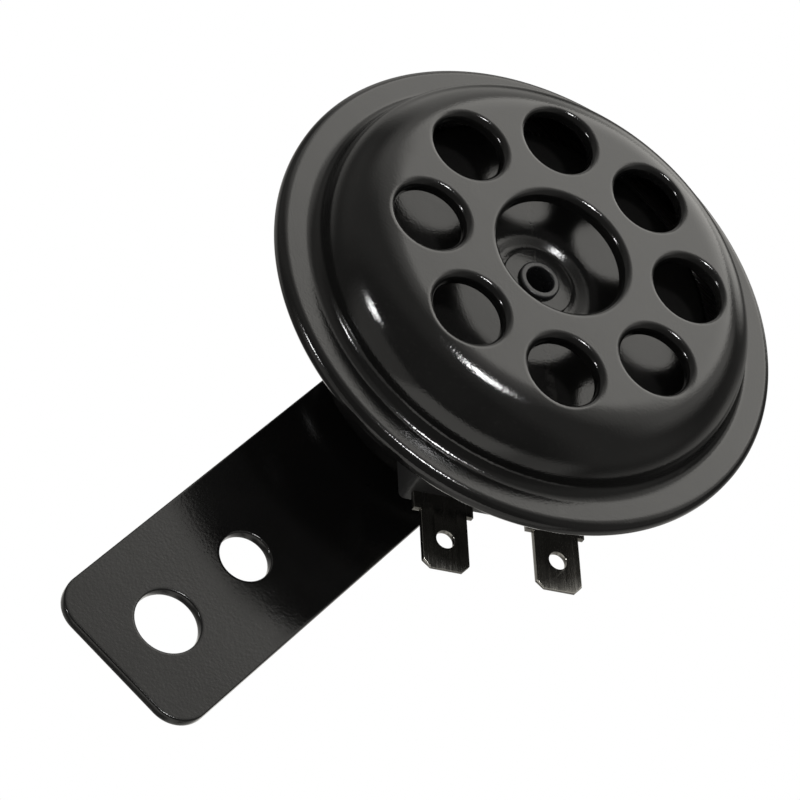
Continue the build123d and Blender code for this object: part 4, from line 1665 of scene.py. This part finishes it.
    def core_and_stud(self, finish: Finish) -> bpy.types.Object:
        """Draw the core and its stud, with the thread's helix on the end that stands out of the nut.

        Args:
            finish: The finish that dresses it.

        Returns:
            The finished object.
        """
        skin = Skin()
        around = 2 * math.pi * np.arange(self.stud_segments) / self.stud_segments
        thread_top = self.stud_end + self.thread_length
        plain = [
            (0.0, self.core_front),
            (self.core_radius - self.core_edge, self.core_front),
            (self.core_radius, self.core_front - self.core_edge),
            (self.core_radius, self.yoke_front),
            (self.stud_radius, self.yoke_front),
            (self.stud_radius, thread_top),
        ]
        rows = [[(r * math.cos(a), r * math.sin(a), z) for a in around] for r, z in plain]
        for level in np.arange(thread_top, self.stud_end - 1e-6, -self.thread_pitch / self.thread_steps):
            turns = (level - self.stud_end) / self.thread_pitch - around / (2 * math.pi)
            ridge = np.abs((turns % 1.0) * 2 - 1)
            fade = min(1.0, (thread_top - level) / self.thread_run_out)
            depth = (self.stud_radius - self.thread_root) * fade
            radius = self.stud_radius - depth * np.clip(self.thread_slope * ridge, 0, 1)
            chamfer = self.stud_radius - self.stud_chamfer + (level - self.stud_end)
            radius = np.minimum(radius, chamfer)
            rows.append([(r * math.cos(a), r * math.sin(a), level) for r, a in zip(radius, around)])
        rows.append([(0.0, 0.0, self.stud_end)] * len(around))
        skin.add_grid(np.array(rows), close_columns=True)
        nodes = ["pole_core"]
        return skin.finish("core_and_stud_skin", self.seat, FIXED_BODY, finish, nodes, self.stud_sharp)

    def build(self, paint: Finish, plated: Finish) -> None:
        """Build the strip and every piece of its fastening.

        Args:
            paint: The strip's finish.
            plated: The finish of the stud, the washers and the nut.
        """
        self.bracket(paint)
        self.spacer_washer(plated)
        self.lock_washer(plated)
        self.nut(plated)
        self.core_and_stud(plated)


@dataclass
class FloorFittings:
    """What shows on the housing's floor: adjusting screw, its lacquer and the breaker's rivet."""

    seat: Seat
    rear: float = HOUSING_REAR
    floor_sheet: float = STEEL_SHEET
    lathe_step: float = 7.5
    screw_radius: float = SCREW_RADIUS
    screw_stand_out: float = 1.0
    screw_front: float = -15.9
    screw_edge: float = 0.12
    screw_steps: int = 24
    screw_sharp: float = 30.0
    slot_width: float = 0.5
    slot_depth: float = 0.7
    seal_radius: float = 2.6
    seal_height: float = 0.6
    seal_edge: float = 0.1
    seal_sharp: float = 60.0
    round_share: float = 0.8
    foot_sheet: float = 1.0
    rivet_radius: float = FOOT_RIVET_RADIUS
    rivet_head_radius: float = 2.2
    rivet_head: float = 0.6
    rivet_edge: float = 0.03
    rivet_sharp: float = 45.0
    upset_radius: float = 1.8
    upset_fillet: float = 0.3

    def spot(self, place: tuple[float, float]) -> np.ndarray:
        """Shift from the horn's axis to a place on the floor, turned with the breaker."""
        return turned(np.array([[*place, 0.0]]), BREAKER_ANGLE)[0]

    def lathe(self, corners: Sequence[Corner], place: tuple[float, float]) -> Skin:
        """Turn a closed section about an axis that stands on the floor.

        Args:
            corners: The section's corners, as radius and level.
            place: Where the axis stands.

        Returns:
            The skin, not yet finished.
        """
        skin = Skin()
        section = rounded(corners, closed=True, support=0.05)
        skin.add_revolved(section, np.radians(np.arange(0, 360, self.lathe_step)))
        skin.points = [np.vstack(skin.points) + self.spot(place)]
        return skin

    def screw(self, finish: Finish) -> bpy.types.Object:
        """Draw the slotted screw: two half-moon lands either side of the slot on a round shank.

        Args:
            finish: The finish that dresses it.

        Returns:
            The finished object.
        """
        end = self.rear - self.screw_stand_out
        slot_floor = end + self.slot_depth
        start = math.asin(self.slot_width / 2 / self.screw_radius)
        angles = np.linspace(start, math.pi - start, self.screw_steps + 1)
        arc = np.array([(self.screw_radius * math.cos(a), self.screw_radius * math.sin(a)) for a in angles])
        full = np.vstack((arc, -arc))
        skin = Skin()
        rings = [at_level(full, level) for level in (self.screw_front, slot_floor)]
        skin.add_grid(np.array(rings), close_columns=True)
        skin.add_flat([full], self.screw_front)
        for land in (arc, -arc):
            top = inset(land, self.screw_edge)
            rings = [at_level(land, slot_floor), at_level(land, end + self.screw_edge), at_level(top, end)]
            skin.add_grid(np.array(rings), close_columns=True)
            skin.add_flat([top], end)
        skin.add_flat([np.array([arc[0], arc[-1], -arc[0], -arc[-1]])], slot_floor)
        skin.points = [turned(np.vstack(skin.points), BREAKER_ANGLE) + self.spot(SCREW_SPOT)]
        nodes = ["adjusting_screw"]
        return skin.finish("adjusting_screw_skin", self.seat, FIXED_BODY, finish, nodes, self.screw_sharp)

    def seal(self, finish: Finish) -> bpy.types.Object:
        """Draw the ring of lacquer, domed where it dried.

        Args:
            finish: The finish that dresses it.

        Returns:
            The finished object.
        """
        top = self.rear - self.seal_height
        corners = [
            Corner(self.screw_radius, self.rear),
            Corner(self.seal_radius, self.rear),
            Corner(self.seal_radius, top, self.round_share * self.seal_height),
            Corner(self.screw_radius, top, self.seal_edge),
        ]
        skin = self.lathe(corners, SCREW_SPOT)
        return skin.finish("screw_seal_skin", self.seat, FIXED_BODY, finish, ["screw_seal"], self.seal_sharp)

    def rivet(self, finish: Finish) -> bpy.types.Object:
        """Draw the rivet with its rounded head outside and its upset end inside.

        Args:
            finish: The finish that dresses it.

        Returns:
            The finished object.
        """
        front = self.rear + self.floor_sheet + self.foot_sheet
        head = self.rear - self.rivet_head
        corners = [
            Corner(0.0, head),
            Corner(self.rivet_head_radius, head, self.round_share * self.rivet_head),
            Corner(self.rivet_head_radius, self.rear, self.rivet_edge),
            Corner(self.rivet_radius, self.rear),
            Corner(self.rivet_radius, front),
            Corner(self.upset_radius, front),
            Corner(self.upset_radius, front + self.rivet_head, self.upset_fillet),
            Corner(0.0, front + self.rivet_head),
        ]
        skin = self.lathe(corners, FOOT_RIVET_SPOT)
        return skin.finish("foot_rivet_skin", self.seat, FIXED_BODY, finish, ["foot_rivet"], self.rivet_sharp)

    def build(self, plated: Finish, lacquer: Finish) -> None:
        """Build the floor's fittings.

        Args:
            plated: The finish of the screw and the rivet.
            lacquer: The lacquer that seals the screw.
        """
        self.screw(plated)
        self.seal(lacquer)
        self.rivet(plated)


# Studio


@dataclass(frozen=True)
class Softbox:
    """A soft lamp as the horn sees it: where it stands, how wide it spreads and how bright it is."""

    name: str
    azimuth: float
    elevation: float
    distance: float
    half_width: float
    half_height: float
    brightness: float
    round: bool = False

    def size(self) -> tuple[float, float]:
        """Work out the lamp's face from its two half angles.

        Returns:
            Width and height, in metres.
        """
        halves = (self.half_width, self.half_height)
        width, height = (2 * self.distance * math.tan(math.radians(half)) for half in halves)
        return width, height

    def power(self) -> float:
        """Work out the power that gives the lamp's face its brightness, where 1 is white.

        Returns:
            The power, in watts.
        """
        width, height = self.size()
        area = width * height * (math.pi / 4 if self.round else 1.0)
        return self.brightness * math.pi * area


@dataclass(frozen=True)
class Glow:
    """A lit part of the studio's walls as the horn sees it: its place, reach, soft border and light.

    Angles are in degrees, and a strength of 1 is white.
    """

    azimuth: float
    elevation: float
    half_width: float
    half_height: float
    border: float
    strength: float

    def share(self, wiring: Wiring, offset: Socket, reach: float) -> Socket:
        """Fall from 1 to 0 across the border.

        Args:
            wiring: The tree's wiring.
            offset: Degrees from this part's middle.
            reach: Degrees from the middle to the centre of the border.

        Returns:
            The share.
        """
        inputs = {
            "Value": wiring.maths("ABSOLUTE", offset),
            "From Min": reach - self.border / 2,
            "From Max": reach + self.border / 2,
            "To Min": 1.0,
            "To Max": 0.0,
        }
        return wiring.node("ShaderNodeMapRange", inputs, interpolation_type="SMOOTHSTEP").outputs["Result"]

    def wire(self, wiring: Wiring, azimuth: Socket, elevation: Socket, below: object) -> Socket:
        """Lay this part over what is there.

        Args:
            wiring: The tree's wiring.
            azimuth: The direction's azimuth.
            elevation: The direction's elevation.
            below: The strength without this part.

        Returns:
            The strength with this part.
        """
        turn = wiring.maths("SUBTRACT", azimuth, self.azimuth)
        turn = wiring.node("ShaderNodeMath", {0: turn, 1: 180.0, 2: -180.0}, operation="WRAP").outputs[0]
        across = self.share(wiring, turn, self.half_width)
        rise = wiring.maths("SUBTRACT", elevation, self.elevation)
        share = wiring.maths("MULTIPLY", across, self.share(wiring, rise, self.half_height))
        inputs = {0: share, 2: below, 3: self.strength}
        return wiring.node("ShaderNodeMix", inputs, data_type="FLOAT").outputs[0]


def is_any_ray(wiring: Wiring, *kinds: str) -> Socket:
    """Tell some kinds of ray from the rest.

    Args:
        wiring: The tree's wiring.
        kinds: Outputs of the light path.

    Returns:
        1 for rays of any of these kinds, and 0 for the rest.
    """
    path = wiring.node("ShaderNodeLightPath").outputs
    seen = path[kinds[0]]
    for kind in kinds[1:]:
        seen = wiring.maths("MAXIMUM", seen, path[kind])
    return seen


@dataclass
class Studio:
    """Floor, walls of light and dark cloth, lamps and the camera at the photograph's angle."""

    seat: Seat
    floor_level: float = -1.9
    floor_half: float = 12.0
    world_light: float = 0.5
    paper_colour: Colour = (0.85, 0.85, 0.85, 1.0)
    paper_roughness: float = 0.9
    wall_distance: float = 1.5
    wall_columns: int = 48
    wall_rows: int = 25
    wall_dark: float = 0.1
    wall_colour: Colour = (1.0, 0.98, 0.93, 1.0)
    aim: tuple[float, float, float] = (0.004597, 0.011719, -0.061806)
    camera_distance: float = 0.4
    camera_azimuth: float = 7.8122
    camera_elevation: float = 40.2214
    camera_roll: float = 129.5415
    focal_length: float = 131.051
    sensor_width: float = 36.0
    clip_start: float = 0.01
    clip_end: float = 20.0
    softboxes: tuple[Softbox, ...] = (
        Softbox("front_strobe", -3.0, -3.0, 0.9, 4.0, 4.0, 60.0, True),
        Softbox("side_strobe", 67.0, 47.0, 0.9, 4.0, 4.0, 40.0, True),
    )
    glows: tuple[Glow, ...] = (
        Glow(0.0, -5.0, 95.0, 25.0, 30.0, 0.25),
        Glow(-10.0, 50.0, 55.0, 24.0, 20.0, 0.12),
        Glow(110.0, 62.0, 40.0, 22.0, 16.0, 0.45),
        Glow(-125.0, 32.0, 32.0, 16.0, 14.0, 0.55),
        Glow(-150.0, 68.0, 58.0, 24.0, 12.0, 1.0),
        Glow(140.0, -25.0, 32.0, 32.0, 20.0, 0.35),
        Glow(-140.0, -25.0, 32.0, 32.0, 20.0, 0.35),
        Glow(180.0, -8.0, 24.0, 26.0, 22.0, 1.3),
        Glow(4.0, -42.0, 58.0, 22.0, 24.0, 0.9),
        Glow(78.0, -62.0, 34.0, 22.0, 20.0, 0.85),
        Glow(0.0, -86.0, 180.0, 12.0, 12.0, 1.4),
        Glow(8.0, -64.0, 36.0, 26.0, 16.0, 2.75),
    )

    def light_world(self) -> None:
        """Give the world its soft light and, for camera, glossy and transmission rays, its white look."""
        world = bpy.data.worlds.new("studio_world")
        bpy.context.scene.world = world
        world.use_nodes = True
        wiring = Wiring(world.node_tree)
        seen = is_any_ray(wiring, "Is Camera Ray", "Is Glossy Ray", "Is Transmission Ray")
        strength = wiring.span(seen, 0.0, 1.0, self.world_light, 1.0)
        wiring.feed(world.node_tree.nodes["Background"], {"Color": WHITE, "Strength": strength})

    def lay_floor(self) -> None:
        """Lay the pale floor well below the horn."""
        half, level = self.floor_half, self.floor_level
        mesh = bpy.data.meshes.new("studio_floor")
        corners = [(-half, -half, level), (half, -half, level), (half, half, level), (-half, half, level)]
        mesh.from_pydata(corners, [], [(0, 1, 2, 3)])
        material = bpy.data.materials.new("floor_paper")
        material.use_nodes = True
        wiring = Wiring(material.node_tree)
        shader = material.node_tree.nodes["Principled BSDF"]
        wiring.feed(shader, {"Base Color": self.paper_colour, "Roughness": self.paper_roughness})
        glow = wiring.node("ShaderNodeEmission", {"Color": WHITE})
        seen = is_any_ray(wiring, "Is Camera Ray", "Is Glossy Ray")
        mixed = wiring.node("ShaderNodeMixShader", {0: seen, 1: shader.outputs[0], 2: glow.outputs[0]})
        wiring.feed(material.node_tree.nodes["Material Output"], {"Surface": mixed.outputs[0]})
        mesh.materials.append(material)
        floor = placed("studio_floor", mesh)

    @staticmethod
    def direction(azimuth: float, elevation: float) -> Vector:
        """Unit vector from the horn towards a place seen at an azimuth and elevation in front of it."""
        a, e = math.radians(azimuth), math.radians(elevation)
        return Vector((math.sin(a) * math.cos(e), -math.cos(a) * math.cos(e), math.sin(e)))

    def hang_softbox(self, softbox: Softbox) -> None:
        """Hang one soft lamp, turned to the horn.

        Args:
            softbox: The lamp.
        """
        lamp = bpy.data.lights.new(softbox.name, "AREA")
        lamp.shape = "ELLIPSE" if softbox.round else "RECTANGLE"
        lamp.size, lamp.size_y = softbox.size()
        lamp.energy = softbox.power()
        holder = placed(softbox.name, lamp)
        away = self.direction(softbox.azimuth, softbox.elevation)
        holder.location = self.centre() + away * softbox.distance
        holder.rotation_euler = (-away).to_track_quat("-Z", "Y").to_euler()
        holder.visible_camera = False

    def centre(self) -> Vector:
        """Middle of the horn's front face."""
        return Vector((0.0, self.seat.face_y, self.seat.axis_z))

    def raise_walls(self) -> None:
        """Raise the walls that the gloss mirrors: a dark shell with lit parts, unseen by the camera."""
        mesh = bpy.data.meshes.new("studio_walls")
        middle = self.centre()
        azimuths = np.linspace(-180.0, 180.0, self.wall_columns, endpoint=False)
        elevations = np.linspace(-90.0, 90.0, self.wall_rows)
        points = [middle + self.direction(a, e) * self.wall_distance for a in azimuths for e in elevations]
        count, width = len(azimuths), len(elevations)
        faces = [
            (i * width + j, i * width + j + 1, (i + 1) % count * width + j + 1, (i + 1) % count * width + j)
            for i in range(count)
            for j in range(width - 1)
        ]
        mesh.from_pydata(points, [], faces)
        material = bpy.data.materials.new("wall_cloth")
        material.use_nodes = True
        wiring = Wiring(material.node_tree)
        ends = {0: wiring.object_place(), 1: middle}
        away = wiring.node("ShaderNodeVectorMath", ends, operation="SUBTRACT")
        away = wiring.node("ShaderNodeVectorMath", {0: away.outputs[0]}, operation="NORMALIZE")
        parts = wiring.node("ShaderNodeSeparateXYZ", {0: away.outputs[0]}).outputs
        elevation = wiring.maths("MULTIPLY", wiring.maths("ARCSINE", parts["Z"]), math.degrees(1.0))
        forward = wiring.maths("MULTIPLY", parts["Y"], -1.0)
        azimuth = wiring.maths("MULTIPLY", wiring.maths("ARCTAN2", parts["X"], forward), math.degrees(1.0))
        strength: object = self.wall_dark
        for glow in self.glows:
            strength = glow.wire(wiring, azimuth, elevation, strength)
        glow = wiring.node("ShaderNodeEmission", {"Color": self.wall_colour, "Strength": strength})
        wiring.feed(material.node_tree.nodes["Material Output"], {"Surface": glow.outputs[0]})
        mesh.materials.append(material)
        walls = placed("studio_walls", mesh)
        walls.visible_camera = False
        walls.visible_diffuse = False
        walls.visible_shadow = False
        walls.visible_transmission = False

    def set_camera(self) -> None:
        """Stand the camera where the photograph was taken."""
        lens = bpy.data.cameras.new("photo_camera")
        lens.lens, lens.sensor_width, lens.sensor_fit = self.focal_length, self.sensor_width, "HORIZONTAL"
        lens.clip_start, lens.clip_end = self.clip_start, self.clip_end
        camera = placed("photo_camera", lens)
        look = -self.direction(-self.camera_azimuth, self.camera_elevation)
        level_right = look.cross(Vector((0.0, 0.0, 1.0))).normalized()
        level_up = level_right.cross(look)
        roll = math.radians(self.camera_roll)
        up = level_up * math.cos(roll) + level_right * math.sin(roll)
        right = look.cross(up)
        place = Vector(self.aim) - look * self.camera_distance
        camera.matrix_world = Matrix(
            (
                (right.x, up.x, -look.x, place.x),
                (right.y, up.y, -look.y, place.y),
                (right.z, up.z, -look.z, place.z),
                (0.0, 0.0, 0.0, 1.0),
            )
        )
        bpy.context.scene.camera = camera

    def build(self) -> None:
        """Set up the whole studio."""
        bpy.context.scene.view_settings.view_transform = "Standard"
        self.light_world()
        self.lay_floor()
        self.raise_walls()
        for softbox in self.softboxes:
            self.hang_softbox(softbox)
        self.set_camera()


def dress_kept_nodes(nodes: dict[str, bpy.types.Object]) -> None:
    """Give the CAD nodes that stay in view inside the horn their finishes.

    Args:
        nodes: The frame's CAD nodes by name.
    """
    for finish, names in KEPT_NODES.items():
        for name in names:
            materials = nodes[name].data.materials
            materials.clear()
            materials.append(finish.material())
            LOG.info("%s keeps its CAD shape, finish %s", name, finish.slot)


def main() -> None:
    """Load the frame, build every sub-assembly, dress what stays and set up the studio."""
    logging.basicConfig(level=logging.INFO, format="%(name)s: %(message)s")
    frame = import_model()
    seat = Seat.from_frame()
    FrontCover(seat).build(COVER_PAINT)
    stack = SoundStack(seat)
    stack.tone_disc(DISC_PAINT)
    stack.hub_washer(DISC_PAINT)
    stack.centre_rivet(BLACK_STEEL)
    RearHousing(seat).build(HOUSING_PAINT)
    Terminals(seat).build(MOULDED_PLASTIC, TAB_METAL)
    BracketMount(seat).build(BRACKET_PAINT, ZINC_STEEL)
    FloorFittings(seat).build(ZINC_STEEL, LACQUER)
    dress_kept_nodes(frame["nodes"])
    Studio(seat).build()


if __name__ == "__main__":
    main()
